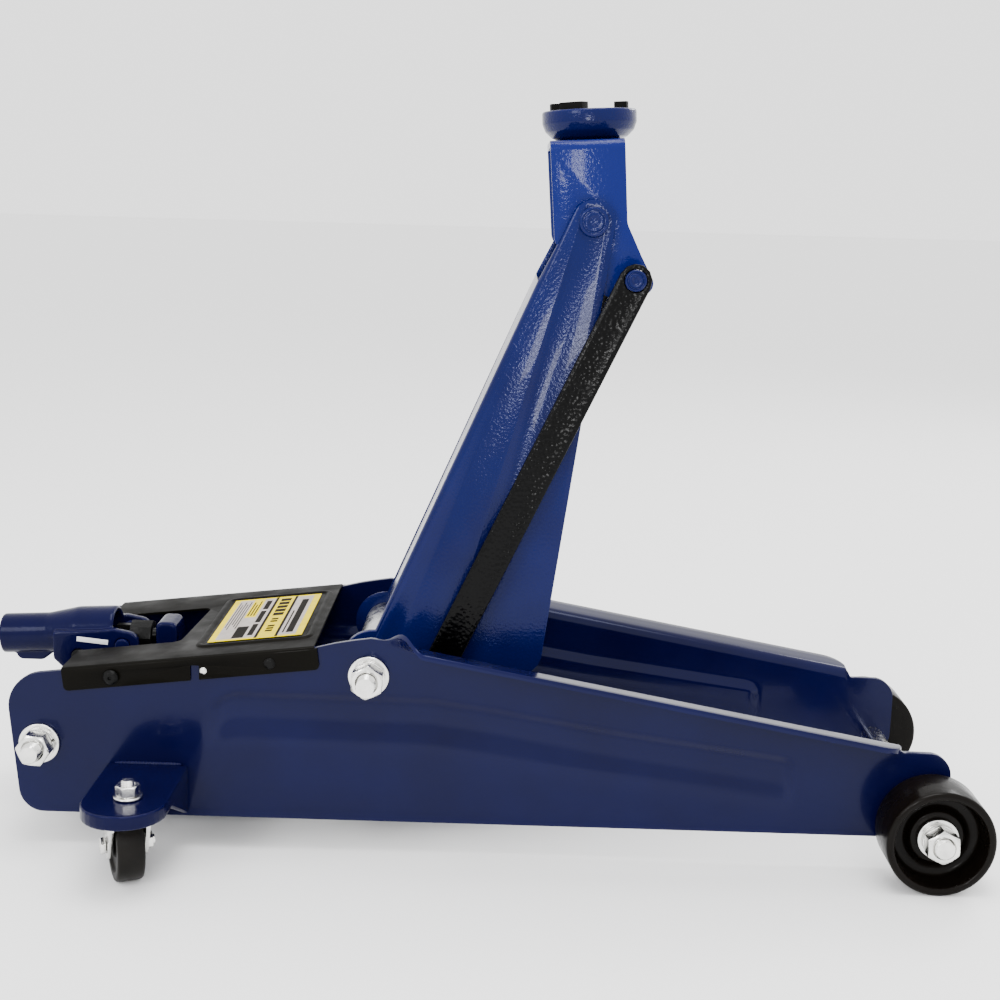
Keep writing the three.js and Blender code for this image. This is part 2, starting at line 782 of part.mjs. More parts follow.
// ---------- hydraulic unit ----------
function hydraulicBlock() {
  const outline = roundedShape([
    [blockRear, blockBottom, 8],
    [blockFront, blockBottom, 4],
    [blockFront, blockTop, 4],
    [blockRear, blockTop, 10],
  ]);
  const [pivotX, pivotZ] = socketPivot;
  const lugOutline = roundedShape([
    [pivotX - 11, blockTop - 4, 0],
    [pivotX + 11, blockTop - 4, 0],
    [pivotX + 8.5, pivotZ + 8, 7],
    [pivotX - 8.5, pivotZ + 8, 7],
  ]);
  const boss = roundedShape([
    [blockFront - bossLength, blockTop - 4, 0],
    [blockFront, blockTop - 4, 0],
    [blockFront, spindleZ + bossHalf, 4],
    [blockFront - bossLength, spindleZ + bossHalf, 4],
  ]);
  const lugs = [-1, 1].map((sign) => slabY(lugOutline, ...between(sign, lugInner, lugOuter)));
  const arms = [-1, 1].map((sign) =>
    rodY(tiePoint, tieArmR, ...between(sign, blockHalfWidth - 1, innerFace - GAP)),
  );
  return cut(
    join(
      slabY(outline, -blockHalfWidth, blockHalfWidth),
      slabY(boss, -bossHalf, bossHalf),
      ...lugs,
      ...arms,
    ),
    rodY(tiePoint, threadR + GAP, studStart - 1, innerFace + 1),
    rodY(tiePoint, threadR + GAP, -innerFace - 1, 1 - studStart),
    rodY(socketPivot, socketPinR + GAP, -cheekHalf, cheekHalf, 20),
    rodZ(plungerX, 0, plungerR + GAP, plungerTop - plungerLength - 8, blockTop + 1),
    rodX(0, spindleZ, spindleR + GAP, blockFront - bossLength - 1, blockFront - 3, 20),
    rodX(0, ramZ, cylinderR + GAP, blockFront - cylinderSeat - GAP, blockFront + 1),
  );
}

function crosshead() {
  const [x] = leverPin;
  const slotLow = leverPinLow - leverPinR - GAP;
  const slotHigh = leverPin[1] + leverPinR + GAP;
  const outline = roundedShape([
    [x - crossheadRear, crossheadBottom, 4],
    [x + crossheadFront, crossheadBottom, 6],
    [x + crossheadFront, crossheadTop, 6],
    [x - crossheadRear, crossheadTop, 4],
  ]);
  const slotHalf = leverPinR + pinPlay;
  const slot = roundedShape([
    [x - slotHalf, slotLow, 3],
    [x + slotHalf, slotLow, 3],
    [x + slotHalf, slotHigh, 3],
    [x - slotHalf, slotHigh, 3],
  ]);
  return cut(
    slabY(outline, -crossheadHalf, crossheadHalf),
    slabY(slot, -crossheadHalf - 1, crossheadHalf + 1),
  );
}

add("hydraulic_block", hydraulicBlock(), "paint");
add(
  "reservoir",
  cut(
    rodX(0, ramZ, reservoirR - 0.5, blockFront + GAP, reservoirFront, 40),
    rodX(0, ramZ, reservoirR - reservoirWall, blockFront - 1, reservoirFront + 1, 40),
  ),
  "paint",
);
add(
  "ram_cylinder",
  cut(
    rodX(0, ramZ, cylinderR, blockFront - cylinderSeat, reservoirFront),
    rodX(0, ramZ, cylinderBoreR, blockFront - cylinderSeat + 3, reservoirFront + 1),
  ),
  "steel",
);
add(
  "gland_nut",
  cut(
    rodX(0, ramZ, reservoirR - 2, reservoirFront + GAP, reservoirFront + GAP + glandLength - 4, 8),
    rodX(0, ramZ, ramRodR + GAP, reservoirFront, reservoirFront + glandLength + 1, 32),
  ),
  "paint",
);
const rodFront = leverPin[0] - crossheadRear - GAP;
add(
  "ram_rod",
  join(
    rodX(0, ramZ, ramRodR, ramRodRear, rodFront, 32),
    rodX(0, ramZ, cylinderBoreR - GAP, ramRodRear - 1, ramRodRear + 8, 32),
  ),
  "steel",
);
add("crosshead", crosshead(), "blackSteel");

// ---------- handle socket, pump and release valve ----------
function socketTube() {
  // along x, in its own frame with the pivot end at x = 0
  const length = socketPivot[0] - 4 - socketMouth;
  const boreLength = socketBoreEnd - socketMouth;
  const tube = rodX(0, 0, socketR, -length, 0, 36);
  const bore = rodX(0, 0, socketBoreR, -length - 1, -length + boreLength, 28);
  return [tube, bore].map((piece) =>
    piece.rotate([0, -socketTilt, 0]).translate([socketPivot[0] - 4, 0, socketAxisZ]),
  );
}

function handleSocket() {
  const [tube, bore] = socketTube();
  const cheekOutlineShape = roundedShape([
    [rollerPin[0] - 17, rollerPin[1] - 2, 0],
    [rollerPin[0] - 9, rollerPin[1] - 10, 6],
    [socketPivot[0] + 3, socketPivot[1] - 11, 8],
    [socketPivot[0] + 11, socketPivot[1] - 6, 6],
    [socketPivot[0] + 10, socketPivot[1] + 8, 7],
    [socketPivot[0] - 6, socketPivot[1] + 11, 4],
    [rollerPin[0] - 17, rollerPin[1] + 14, 0],
  ]);
  const cheeks = [-1, 1].map((sign) =>
    slabY(cheekOutlineShape, ...between(sign, cheekHalf - cheekT, cheekHalf)),
  );
  // the casting that carries the tube into the cheeks, above the roller
  const bridge = slabY(
    roundedShape([
      [rollerPin[0] - 17, rollerPin[1] + 3, 0],
      [rollerPin[0] - 12, rollerPin[1] + 9.5, 0],
      [rollerPin[0] + 14, rollerPin[1] + 11, 0],
      [rollerPin[0] + 14, rollerPin[1] + 18, 4],
      [rollerPin[0] - 17, rollerPin[1] + 16, 0],
    ]),
    -cheekHalf + 0.5,
    cheekHalf - 0.5,
  );
  const keel = slabY(
    roundedShape([
      [socketMouth + 8, rollerPin[1] + 2, 0],
      [socketMouth + 10, rollerPin[1] - 8, 4],
      [socketMouth + 27, rollerPin[1] - 8, 4],
      [socketMouth + 40, rollerPin[1] + 2, 0],
    ]),
    -6,
    6,
  );
  const room = box(
    rollerPin[0] - 10,
    socketPivot[0] + 20,
    -cheekHalf + cheekT,
    cheekHalf - cheekT,
    rollerPin[1] - 20,
    rollerPin[1] + 9,
  );
  const frontRoom = box(
    socketPivot[0] - 14,
    socketPivot[0] + 20,
    -cheekHalf + cheekT,
    cheekHalf - cheekT,
    socketPivot[1] - 20,
    socketPivot[1] + 30,
  );
  return cut(
    join(tube, bridge, keel, ...cheeks),
    bore,
    room,
    frontRoom,
    rodY(socketPivot, socketPinR + GAP, -cheekHalf - 1, cheekHalf + 1, 20),
    rodY(rollerPin, socketPinR + GAP, -cheekHalf - 1, cheekHalf + 1, 20),
  );
}

add("handle_socket", handleSocket(), "paint");
for (const [side, sign] of sides) {
  const [low, high] = between(sign, lugInner + 0.2, cheekHalf + 1.5);
  add(side + "_socket_pin", rodY(socketPivot, socketPinR, low, high, 20), "blackSteel");
}
add(
  "pump_roller",
  join(
    rodY(rollerPin, socketPinR, -cheekHalf - 1.5, cheekHalf + 1.5, 20),
    rodY(rollerPin, rollerR, -cheekHalf + cheekT + 1, cheekHalf - cheekT - 1, 24),
  ),
  "blackSteel",
);
add(
  "pump_plunger",
  join(
    rodZ(plungerX, 0, plungerR, plungerTop - plungerLength, plungerTop),
    rodZ(plungerX, 0, plungerHeadR, plungerTop - 2.5, plungerTop),
  ),
  "steel",
);

function releaseSpindle() {
  const [x] = socketPivot;
  const knuckleFront = blockFront - bossLength - 4;
  return join(
    rodX(0, spindleZ, spindleR, knuckleFront - 1, blockFront - 4, 20),
    rodX(0, spindleZ, knuckleR, x + 2, knuckleFront, 8),
    box(x - 8, x + 3, -2.6, 2.6, spindleZ - 7, spindleZ + 7),
  );
}

add("release_spindle", releaseSpindle(), "blackSteel");

// ---------- cover plate and label ----------
const coverHalf = halfWidth + GAP;
const coverAngle = Math.atan(topSlope);

// A shape given flat, x along the cover and z above the plates' top edge, laid on the slope.
function onSlope(shape) {
  return shape
    .rotate([0, (-coverAngle * 180) / Math.PI, 0])
    .translate([coverRear, 0, topEdgeZ(coverRear)]);
}

function coverPlate() {
  const length = (coverFront - coverRear) / Math.cos(coverAngle);
  const opening = (coverOpeningEnd - coverRear) / Math.cos(coverAngle);
  const outer = coverHalf + coverSheet;
  const top = slabZ(
    roundedShape([
      [0, -outer, 0],
      [length, -outer, 0],
      [length, outer, 0],
      [0, outer, 0],
    ]),
    GAP,
    GAP + coverSheet,
  );
  const window = slabZ(
    roundedShape([
      [-5, -coverOpeningHalf, 0],
      [opening, -coverOpeningHalf, 6],
      [opening + 5, coverOpeningHalf, 6],
      [-5, coverOpeningHalf, 0],
    ]),
    -5,
    10,
  );
  const flanges = [-1, 1].map((sign) => {
    const shape = roundedShape([
      [0, -coverDrop, 3],
      [length + 2, -coverDrop, 3],
      [length + 2, GAP + 0.5, 0],
      [0, GAP + 0.5, 0],
    ]);
    return slabY(shape, ...between(sign, coverHalf, outer));
  });
  const laid = onSlope(cut(join(top, ...flanges), window));
  const holes = rodY([screwX, topEdgeZ(screwX) - coverDrop / 2], screwR + GAP, -outer - 1, outer + 1, 16);
  return laid.subtract(holes);
}

function coverLabel() {
  const start = (labelX - coverRear) / Math.cos(coverAngle) - labelLength / 2;
  return onSlope(
    box(
      start,
      start + labelLength,
      -labelWidth / 2,
      labelWidth / 2,
      2 * GAP + coverSheet,
      2 * GAP + coverSheet + labelT,
    ),
  );
}

add("cover_plate", coverPlate(), "blackPaint");
add("cover_label", coverLabel(), "label");
for (const [side, sign] of sides) {
  const centre = [screwX, topEdgeZ(screwX) - coverDrop / 2];
  const headStart = coverHalf + coverSheet + GAP;
  const shank = rodY(centre, screwR, ...between(sign, innerFace - 3, headStart + 1), 16);
  const head = rodY(centre, screwHeadR, ...between(sign, headStart, headStart + screwHeadT), 20);
  add(side + "_cover_screw", join(shank, head), "blackSteel");
}

// ---------- rear casters ----------
function casterBracket(sign) {
  const edge = halfWidth + GAP;
  const reach = halfWidth + shelfReach;
  const outline = (inset) =>
    roundedShape([
      [shelfRear + inset, edge, 0],
      [shelfFront - inset, edge, 0],
      [shelfFront - inset, reach - inset, shelfCornerR - inset],
      [shelfRear + inset, reach - inset, shelfCornerR - inset],
    ]);
  const tray = cut(
    slabZ(outline(0), shelfTop - gussetDrop, shelfTop, 4),
    slabZ(outline(shelfSheet), shelfTop - gussetDrop - 1, shelfBottom, 4),
    box(shelfRear + shelfSheet, shelfFront - shelfSheet, edge - 1, edge + 10, 0, shelfBottom),
  );
  // the skirt is trimmed from its full depth at the plate to the shallow lip at the rim
  const low = shelfTop - gussetDrop;
  const trim = new THREE.Shape(
    [
      [edge + 3, low - 5],
      [edge + 3, low],
      [edge + gussetReach, shelfTop - skirtDrop],
      [reach + 5, shelfTop - skirtDrop],
      [reach + 5, low - 5],
    ].map(([y, z]) => new THREE.Vector2(y, z)),
  );
  const depth = shelfFront - shelfRear + 10;
  const trimmer = new THREE.ExtrudeGeometry(trim, { depth, bevelEnabled: false });
  trimmer.rotateX(Math.PI / 2).rotateZ(Math.PI / 2).translate(shelfRear - 5, 0, 0);
  const hole = rodZ(kingpinX, halfWidth + kingpinReach, kingpinR + GAP, shelfBottom - 20, shelfTop + 5, 20);
  const bracket = cut(tray, solid(trimmer), hole);
  return sign > 0 ? bracket : bracket.mirror([0, 1, 0]);
}

function kingpin() {
  // in the caster's frame: the kingpin axis is the Z axis
  return join(
    rodZ(0, 0, kingpinR, shelfBottom - forkSheet - GAP * 3, shelfTop + 11.5, 20),
    rodZ(0, 0, kingpinR + 3, shelfBottom - forkSheet - GAP * 3 - 2.4, shelfBottom - forkSheet - GAP * 3, 20),
  );
}

function kingpinNut() {
  const corner = kingpinFlats / Math.sqrt(3);
  const low = shelfTop + GAP;
  return cut(
    join(rodZ(0, 0, kingpinFlats * 0.66, low, low + 1.6, 28), rodZ(0, 0, corner, low + 1.5, low + 8.2, 6)),
    rodZ(0, 0, kingpinR + GAP, low - 1, low + 10, 20),
  );
}

function casterFork() {
  // the axle runs along X and the wheel trails along +Y
  const top = shelfBottom - GAP;
  const disc = rodZ(0, 0, forkDiscR, top - forkSheet, top, 32);
  const side = casterWidth / 2 + forkSideGap;
  const leg = roundedLeg(top);
  const legs = [-1, 1].map((sign) => {
    const [low, high] = between(sign, side, side + forkSheet);
    return solid(
      new THREE.ExtrudeGeometry(leg, { depth: high - low, bevelEnabled: false, curveSegments: 3 })
        .rotateX(Math.PI / 2)
        .rotateZ(Math.PI / 2)
        .translate(low, 0, 0),
    );
  });
  const hole = rodX(casterTrail, casterR, casterAxleR + GAP, -20, 20, 16);
  return cut(join(disc, ...legs), hole, rodZ(0, 0, kingpinR + GAP, top - 10, top + 5, 20));
}

function roundedLeg(top) {
  return roundedShape([
    [-9, top - 0.4, 0],
    [-6, top - 14, 6],
    [casterTrail - 7, casterR - 7, 6],
    [casterTrail + 7, casterR - 7, 6],
    [casterTrail + 7, casterR + 5, 5],
    [11, top - 0.4, 0],
  ]);
}

function casterWheel() {
  const half = casterWidth / 2;
  return turned(
    [
      [casterAxleR + GAP, -half],
      [casterR - 1.2, -half],
      [casterR, -half + 1.2],
      [casterR, half - 1.2],
      [casterR - 1.2, half],
      [casterAxleR + GAP, half],
    ],
    32,
  );
}

function casterAxle() {
  const side = casterWidth / 2 + forkSideGap + forkSheet + GAP;
  const middle = [casterTrail, casterR];
  return join(
    rodX(...middle, casterAxleR, -side - 3, side + 5, 16),
    rodX(...middle, casterAxleR + 2.5, -side - 3, -side, 6),
    rodX(...middle, casterAxleR + 2.5, side, side + 3.5, 6),
  );
}

for (const [side, sign] of sides) {
  add(side + "_caster_bracket", casterBracket(sign), "paint");
  const stand = new THREE.Group();
  stand.position.set(kingpinX, sign * (halfWidth + kingpinReach), 0);
  jack.add(stand);
  add(side + "_kingpin", kingpin(), "zinc", stand);
  add(side + "_kingpin_nut", kingpinNut(), "zinc", stand);
  const caster = new THREE.Group();
  caster.rotation.z = radians(sign < 0 ? casterTurn : 180 - casterTurn);
  stand.add(caster);
  add(side + "_caster_fork", casterFork(), "zinc", caster);
  add(side + "_caster_axle", casterAxle(), "zinc", caster);
  const wheel = add(side + "_caster_wheel", casterWheel(), "wheelIron", caster);
  wheel.rotation.y = Math.PI / 2;
  wheel.position.set(0, casterTrail, casterR);
}

// ---------- the finished group, its origin under the middle of its box ----------
const root = new THREE.Group();
root.add(jack);
root.updateMatrixWorld(true);
const extent = new THREE.Box3().setFromObject(jack, true);
jack.position.x = -(extent.min.x + extent.max.x) / 2;
jack.position.z = -extent.min.z;

export default root;
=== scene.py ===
# %% [markdown]
# # A trolley jack, dressed over its CAD frame
# The CAD model already has the right sizes and the right joints. This notebook gives every piece
# the look of the real thing: rolled edges, pressed grooves, threads, castings and paint.
# Everything is in metres, and every place is worked out from the frame's own boxes.

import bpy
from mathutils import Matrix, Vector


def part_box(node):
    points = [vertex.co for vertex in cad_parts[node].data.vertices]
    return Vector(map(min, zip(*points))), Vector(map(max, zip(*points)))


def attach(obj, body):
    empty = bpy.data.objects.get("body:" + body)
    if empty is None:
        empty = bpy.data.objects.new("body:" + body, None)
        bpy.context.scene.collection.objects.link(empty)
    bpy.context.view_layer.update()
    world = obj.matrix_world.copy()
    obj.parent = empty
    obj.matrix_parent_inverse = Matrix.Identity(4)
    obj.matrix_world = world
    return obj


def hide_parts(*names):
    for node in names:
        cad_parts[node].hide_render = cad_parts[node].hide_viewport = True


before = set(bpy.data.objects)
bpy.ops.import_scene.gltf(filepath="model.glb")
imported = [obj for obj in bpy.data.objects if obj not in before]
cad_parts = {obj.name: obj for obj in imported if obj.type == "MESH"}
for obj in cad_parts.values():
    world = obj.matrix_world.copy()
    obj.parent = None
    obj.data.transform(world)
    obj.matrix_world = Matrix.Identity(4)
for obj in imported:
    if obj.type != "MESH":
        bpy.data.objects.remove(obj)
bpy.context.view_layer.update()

# %% [markdown]
# ## Measuring the jack
# A mechanic measures a jack from its axle, its pivot and its plates. The same few places are read
# here from the frame's boxes, and every later piece is set out from them. Reading them, rather
# than typing them in again, keeps the pieces in line with the CAD model.

# %% Measuring tools
import math

import bmesh
import bpy
from mathutils import Matrix, Vector

MM = 0.001
GAP = 0.3 * MM
SIDES = (("near", -1), ("far", 1))


def middle(node):
    """The centre of a CAD node's box."""
    low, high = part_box(node)
    return (low + high) / 2


def span(node, axis):
    """The lowest and highest value of a CAD node along one axis."""
    low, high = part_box(node)
    return low[axis], high[axis]


print("one millimetre is", MM, "and pieces keep", GAP, "apart")

# %% Places of the main parts
wall_and_gap = 4.1 * MM
axle = middle("front_axle")
plate_inner = span("far_tie_washers", 1)[0] - wall_and_gap
pivot = middle("arm_pivot_shaft")
eye = middle("arm_top_pin")
link_foot = middle("near_link_stud")
link_pin = middle("link_top_pin")
tie = middle("near_tie_stud")
half_width = abs(span("near_pivot_washers", 1)[1]) - GAP
print("axle at", round(axle.x, 4), "plates over", round(2 * half_width, 4))

# %% [markdown]
# ## The camera
# The jack is seen from its near side, a little from above. The camera stands about a metre off,
# so near and far plates draw apart as they do for someone standing beside the jack.

# %% Camera
camera_yaw = -0.0070
camera_pitch = 0.1995
camera_roll = 0.0276
camera_from_axle = Vector((-0.2675, -0.9655, 0.4112))
lens_mm = 54

forward = Vector(
    (
        math.sin(camera_yaw) * math.cos(camera_pitch),
        math.cos(camera_yaw) * math.cos(camera_pitch),
        -math.sin(camera_pitch),
    )
)
level = Vector((math.cos(camera_yaw), -math.sin(camera_yaw), 0))
upward = level.cross(forward)
right = math.cos(camera_roll) * level + math.sin(camera_roll) * upward
top = -math.sin(camera_roll) * level + math.cos(camera_roll) * upward

camera_data = bpy.data.cameras.new("camera")
camera_data.sensor_width = 36
camera_data.lens = lens_mm
camera_data.clip_end = 100
camera = bpy.data.objects.new("camera", camera_data)
turn = Matrix((right, top, -forward)).transposed().to_4x4()
camera.matrix_world = Matrix.Translation(camera_from_axle + Vector((axle.x, 0, 0))) @ turn
bpy.context.scene.collection.objects.link(camera)
bpy.context.scene.camera = camera
print("camera at", [round(value, 3) for value in camera.matrix_world.translation])

# %% [markdown]
# ## Floor and light
# Gloss paint shows what is around it, so the studio is part of the finish. A pale floor and a pale
# sky give the plates their soft blue-grey sheen, and large soft lamps lay highlights on the bends.

# %% Floor and sky
def node_material(name):
    """A new material with one Principled shader, its node tree and that shader."""
    material = bpy.data.materials.new(name)
    material.use_nodes = True
    tree = material.node_tree
    return material, tree, tree.nodes["Principled BSDF"]


floor_material, floor_tree, floor_shader = node_material("floor")
floor_shader.inputs["Base Color"].default_value = (0.9, 0.9, 0.9, 1)
floor_shader.inputs["Roughness"].default_value = 0.6
bpy.ops.mesh.primitive_plane_add(size=40, location=(0, 0, 0))
floor = bpy.context.object
floor.name = "floor"
floor.data.materials.append(floor_material)

world = bpy.data.worlds.new("studio")
world.use_nodes = True
world.node_tree.nodes["Background"].inputs["Color"].default_value = (1, 1, 1, 1)
world.node_tree.nodes["Background"].inputs["Strength"].default_value = 2.1
bpy.context.scene.world = world
print("floor and sky ready")

# %% [markdown]
# ### Lamps
# Three wide lamps stand far off and draw soft, long highlights. A small fourth one stands beside
# the camera: a small lamp gives small, bright sparks on rough paint, which wide lamps can't.

# %% Lamps
def lamp(name, place, aim, size, power):
    """A square area lamp that shines from place towards aim."""
    data = bpy.data.lights.new(name, "AREA")
    data.size = size
    data.energy = power
    made = bpy.data.objects.new(name, data)
    made.location = place
    made.rotation_euler = (Vector(aim) - Vector(place)).to_track_quat("-Z", "Y").to_euler()
    bpy.context.scene.collection.objects.link(made)
    return made


lamp("top_lamp", (0.1, -0.2, 1.9), (0, 0, 0.1), 1.0, 30)
lamp("front_lamp", (-1.3, -1.7, 1.3), (0, 0, 0.2), 0.8, 22)
lamp("rear_lamp", (1.4, 1.5, 1.4), (0, 0, 0.2), 0.8, 22)
by_camera = camera.matrix_world.translation + Vector((-0.04, 0, 0.06))
lamp("near_lamp", by_camera, eye, 0.14, 2.6)
print("lamps:", len(bpy.data.lights))

# %% [markdown]
# ## Finishes
# Each finish is a small stack of procedural nodes: a colour that drifts a little, a roughness
# that drifts a little, and bumps at the size the real surface has them. Enamel pulls itself into
# a faint orange peel, and bare sheet is smoother than sprayed castings.

# %% Noise and colour
def texture_space(tree, stretch=(1, 1, 1)):
    """The piece's own coordinates, so that a finish moves with its piece."""
    coordinates = tree.nodes.new("ShaderNodeTexCoord")
    mapping = tree.nodes.new("ShaderNodeMapping")
    mapping.inputs["Scale"].default_value = stretch
    tree.links.new(coordinates.outputs["Object"], mapping.inputs["Vector"])
    return mapping.outputs["Vector"]


def noise(tree, space, scale, detail=2.0):
    """A noise value between 0 and 1, with about scale lumps to the metre."""
    node = tree.nodes.new("ShaderNodeTexNoise")
    node.inputs["Scale"].default_value = scale
    node.inputs["Detail"].default_value = detail
    tree.links.new(space, node.inputs["Vector"])
    return node.outputs["Fac"]


def ramp(tree, value, low, high, low_colour, high_colour):
    """Turns a value into a colour that runs from one to the other between low and high."""
    node = tree.nodes.new("ShaderNodeValToRGB")
    first, last = node.color_ramp.elements
    first.position, last.position = low, high
    first.color, last.color = (*low_colour, 1), (*high_colour, 1)
    tree.links.new(value, node.inputs["Fac"])
    return node.outputs["Color"]


def spread(tree, value, low, high):
    """Maps a noise value onto the range from low to high."""
    node = tree.nodes.new("ShaderNodeMapRange")
    node.inputs["From Min"].default_value = 0.3
    node.inputs["From Max"].default_value = 0.7
    node.inputs["To Min"].default_value = low
    node.inputs["To Max"].default_value = high
    tree.links.new(value, node.inputs["Value"])
    return node.outputs["Result"]


print("noise and colour helpers ready")

# %% [markdown]
# ### Relief and painted edge highlights
# Bump nodes tilt the shading without moving the surface, which is enough for relief thinner than
# a hair. Pointiness finds the outer edges, which the paints lighten as a painted highlight.

# %% Relief and painted edge highlights
def bump(tree, shader, heights):
    """Stacks bumps, each given as (value, depth in metres), and feeds the shader's normal."""
    normal = None
    for value, depth in heights:
        node = tree.nodes.new("ShaderNodeBump")
        node.inputs["Strength"].default_value = 1
        node.inputs["Distance"].default_value = depth
        tree.links.new(value, node.inputs["Height"])
        if normal is not None:
            tree.links.new(normal, node.inputs["Normal"])
        normal = node.outputs["Normal"]
    tree.links.new(normal, shader.inputs["Normal"])


# This mask places the painted highlight on the convex edges of the paints.
def edges(tree, low=0.52, high=0.62):
    """1 on convex edges and 0 on flat faces."""
    geometry = tree.nodes.new("ShaderNodeNewGeometry")
    node = tree.nodes.new("ShaderNodeMapRange")
    node.inputs["From Min"].default_value = low
    node.inputs["From Max"].default_value = high
    tree.links.new(geometry.outputs["Pointiness"], node.inputs["Value"])
    return node.outputs["Result"]


def mix(tree, amount, first, second):
    """Mixes two colours by a value."""
    node = tree.nodes.new("ShaderNodeMix")
    node.data_type = "RGBA"
    tree.links.new(amount, node.inputs["Factor"])
    for socket, colour in ((node.inputs[6], first), (node.inputs[7], second)):
        if isinstance(colour, bpy.types.NodeSocket):
            tree.links.new(colour, socket)
        else:
            socket.default_value = (*colour, 1)
    return node.outputs[2]


print("finishes start from", len(bpy.data.materials), "material")

# %% [markdown]
# ### Enamel
# Navy enamel is a dark pigment under a clear, glossy skin. The coat layer gives the sharp
# reflection, and two bumps give the peel: a wide one that bends highlights and a fine one that
# breaks them into sparkle where the spray was dry.

# %% Paints
def enamel(name, dark, light, roughness, peel, grain, shine=0.14, lumps=160, coat=0.06):
    """Gloss paint: waves of depth peel, lumps to the metre, and dry spray of depth grain."""
    material, tree, shader = node_material(name)
    space = texture_space(tree)
    drift = ramp(tree, noise(tree, space, 14, 3), 0.35, 0.7, dark, light)
    # Convex edges get a painted highlight: a lighter colour mixed in by pointiness.
    highlit_edges = mix(tree, edges(tree), drift, [value * 1.6 for value in light])
    tree.links.new(highlit_edges, shader.inputs["Base Color"])
    gloss = spread(tree, noise(tree, space, 60, 4), roughness * 0.85, roughness * 1.3)
    tree.links.new(gloss, shader.inputs["Roughness"])
    shader.inputs["Specular IOR Level"].default_value = shine
    shader.inputs["Coat Weight"].default_value = coat
    shader.inputs["Coat Roughness"].default_value = 0.04
    waves = (noise(tree, space, lumps, 1), peel)
    spray = (noise(tree, space, 900, 2), grain)
    bump(tree, shader, [waves, spray])
    return material


navy = [(0.0012, 0.0012, 0.018), (0.0016, 0.002, 0.026)]
bright_navy = [(0.001, 0.002, 0.034), (0.0015, 0.004, 0.052)]
black = [(0.0016, 0.0014, 0.001), (0.003, 0.0026, 0.0018)]
iron_black = [(0.0014, 0.001, 0.0006), (0.003, 0.002, 0.0014)]
sheet_blue = enamel("sheet_blue", *navy, 0.15, 0.00003, 0.000003, 0.15)
arm_blue = enamel("arm_blue", *bright_navy, 0.16, 0.0002, 0.00005, 0.16, 560)
cast_blue = enamel("cast_blue", *navy, 0.2, 0.00012, 0.00002, 0.08, 300)
cover_black = enamel("cover_black", *black, 0.42, 0.00005, 0.00002, 0.03, coat=0.015)
wheel_black = enamel("wheel_black", *iron_black, 0.28, 0.0003, 0.00003, 0.05)
for paint in (sheet_blue, arm_blue, cast_blue):
    paint.node_tree.nodes["Principled BSDF"].inputs["Specular Tint"].default_value = (0.62, 0.68, 1, 1)
print("paints made")

# %% [markdown]
# ### Hammered black
# The links are forged bars under thick black paint. Their dimples are cells, not waves, so a
# Voronoi texture stands for them: its distance rises smoothly from each cell's middle.

# %% Hammered black
def hammered(name, colour, roughness, cells, depth):
    """Paint over a forged bar, with dimples of about one metre over cells."""
    material, tree, shader = node_material(name)
    space = texture_space(tree)
    dimple = tree.nodes.new("ShaderNodeTexVoronoi")
    dimple.feature = "SMOOTH_F1"
    dimple.inputs["Scale"].default_value = cells
    dimple.inputs["Smoothness"].default_value = 0.6
    tree.links.new(space, dimple.inputs["Vector"])
    # Convex edges get a painted highlight: a lighter colour mixed in by pointiness.
    edge_highlight = mix(tree, edges(tree), colour, [value * 2.2 + 0.002 for value in colour])
    tree.links.new(edge_highlight, shader.inputs["Base Color"])
    gloss = spread(tree, noise(tree, space, 90, 3), roughness * 0.8, roughness * 1.35)
    tree.links.new(gloss, shader.inputs["Roughness"])
    shader.inputs["Specular IOR Level"].default_value = 0.08
    shader.inputs["Coat Weight"].default_value = 0.02
    shader.inputs["Coat Roughness"].default_value = 0.15
    grain = (noise(tree, space, 700, 3), depth * 0.08)
    bump(tree, shader, [(dimple.outputs["Distance"], depth), grain])
    return material


link_black = hammered("link_black", (0.0004, 0.0004, 0.0005), 0.2, 420, 0.0004)
part_black = hammered("part_black", (0.002, 0.002, 0.002), 0.34, 420, 0.0002)
print("black paints:", link_black.name, part_black.name)

# %% [markdown]
# ### Zinc and steel
# Zinc plate is a bright metal with a slightly milky skin, and ground steel is darker and oily.
# Both are fully metallic, so their base colour is the colour of what they reflect.

# %% Zinc and steel
def bare_metal(name, dark, light, roughness, scratch):
    """Plated or ground metal: its colour and gloss drift, and fine scratches run round it."""
    material, tree, shader = node_material(name)
    space = texture_space(tree)
    drift = ramp(tree, noise(tree, space, 120, 4), 0.3, 0.7, dark, light)
    tree.links.new(drift, shader.inputs["Base Color"])
    shader.inputs["Metallic"].default_value = 1
    gloss = spread(tree, noise(tree, space, 260, 4), roughness * 0.7, roughness * 1.5)
    tree.links.new(gloss, shader.inputs["Roughness"])
    bump(tree, shader, [(noise(tree, space, 1500, 3), scratch)])
    return material


zinc_plate = bare_metal("zinc_plate", (0.62, 0.62, 0.60), (0.86, 0.85, 0.82), 0.2, 0.00002)
ground_steel = bare_metal("ground_steel", (0.35, 0.35, 0.36), (0.55, 0.55, 0.55), 0.26, 0.00001)
print("metals:", zinc_plate.name, ground_steel.name)

# %% [markdown]
# ### Rubber and tread
# The saddle's pad is soft, matt rubber, and the casters run on hard black plastic. One recipe
# serves both, since they differ only in roughness, grain and shine.

# %% Rubber and tread
def soft_black(name, dark, light, roughness, depth, shine=0.3):
    """Rubber or hard tread: a matt skin with a fine grain."""
    material, tree, shader = node_material(name)
    space = texture_space(tree)
    drift = ramp(tree, noise(tree, space, 80, 4), 0.35, 0.7, dark, light)
    tree.links.new(drift, shader.inputs["Base Color"])
    gloss = spread(tree, noise(tree, space, 150, 3), roughness * 0.85, roughness * 1.1)
    tree.links.new(gloss, shader.inputs["Roughness"])
    shader.inputs["Specular IOR Level"].default_value = shine
    bump(tree, shader, [(noise(tree, space, 1100, 3), depth)])
    return material


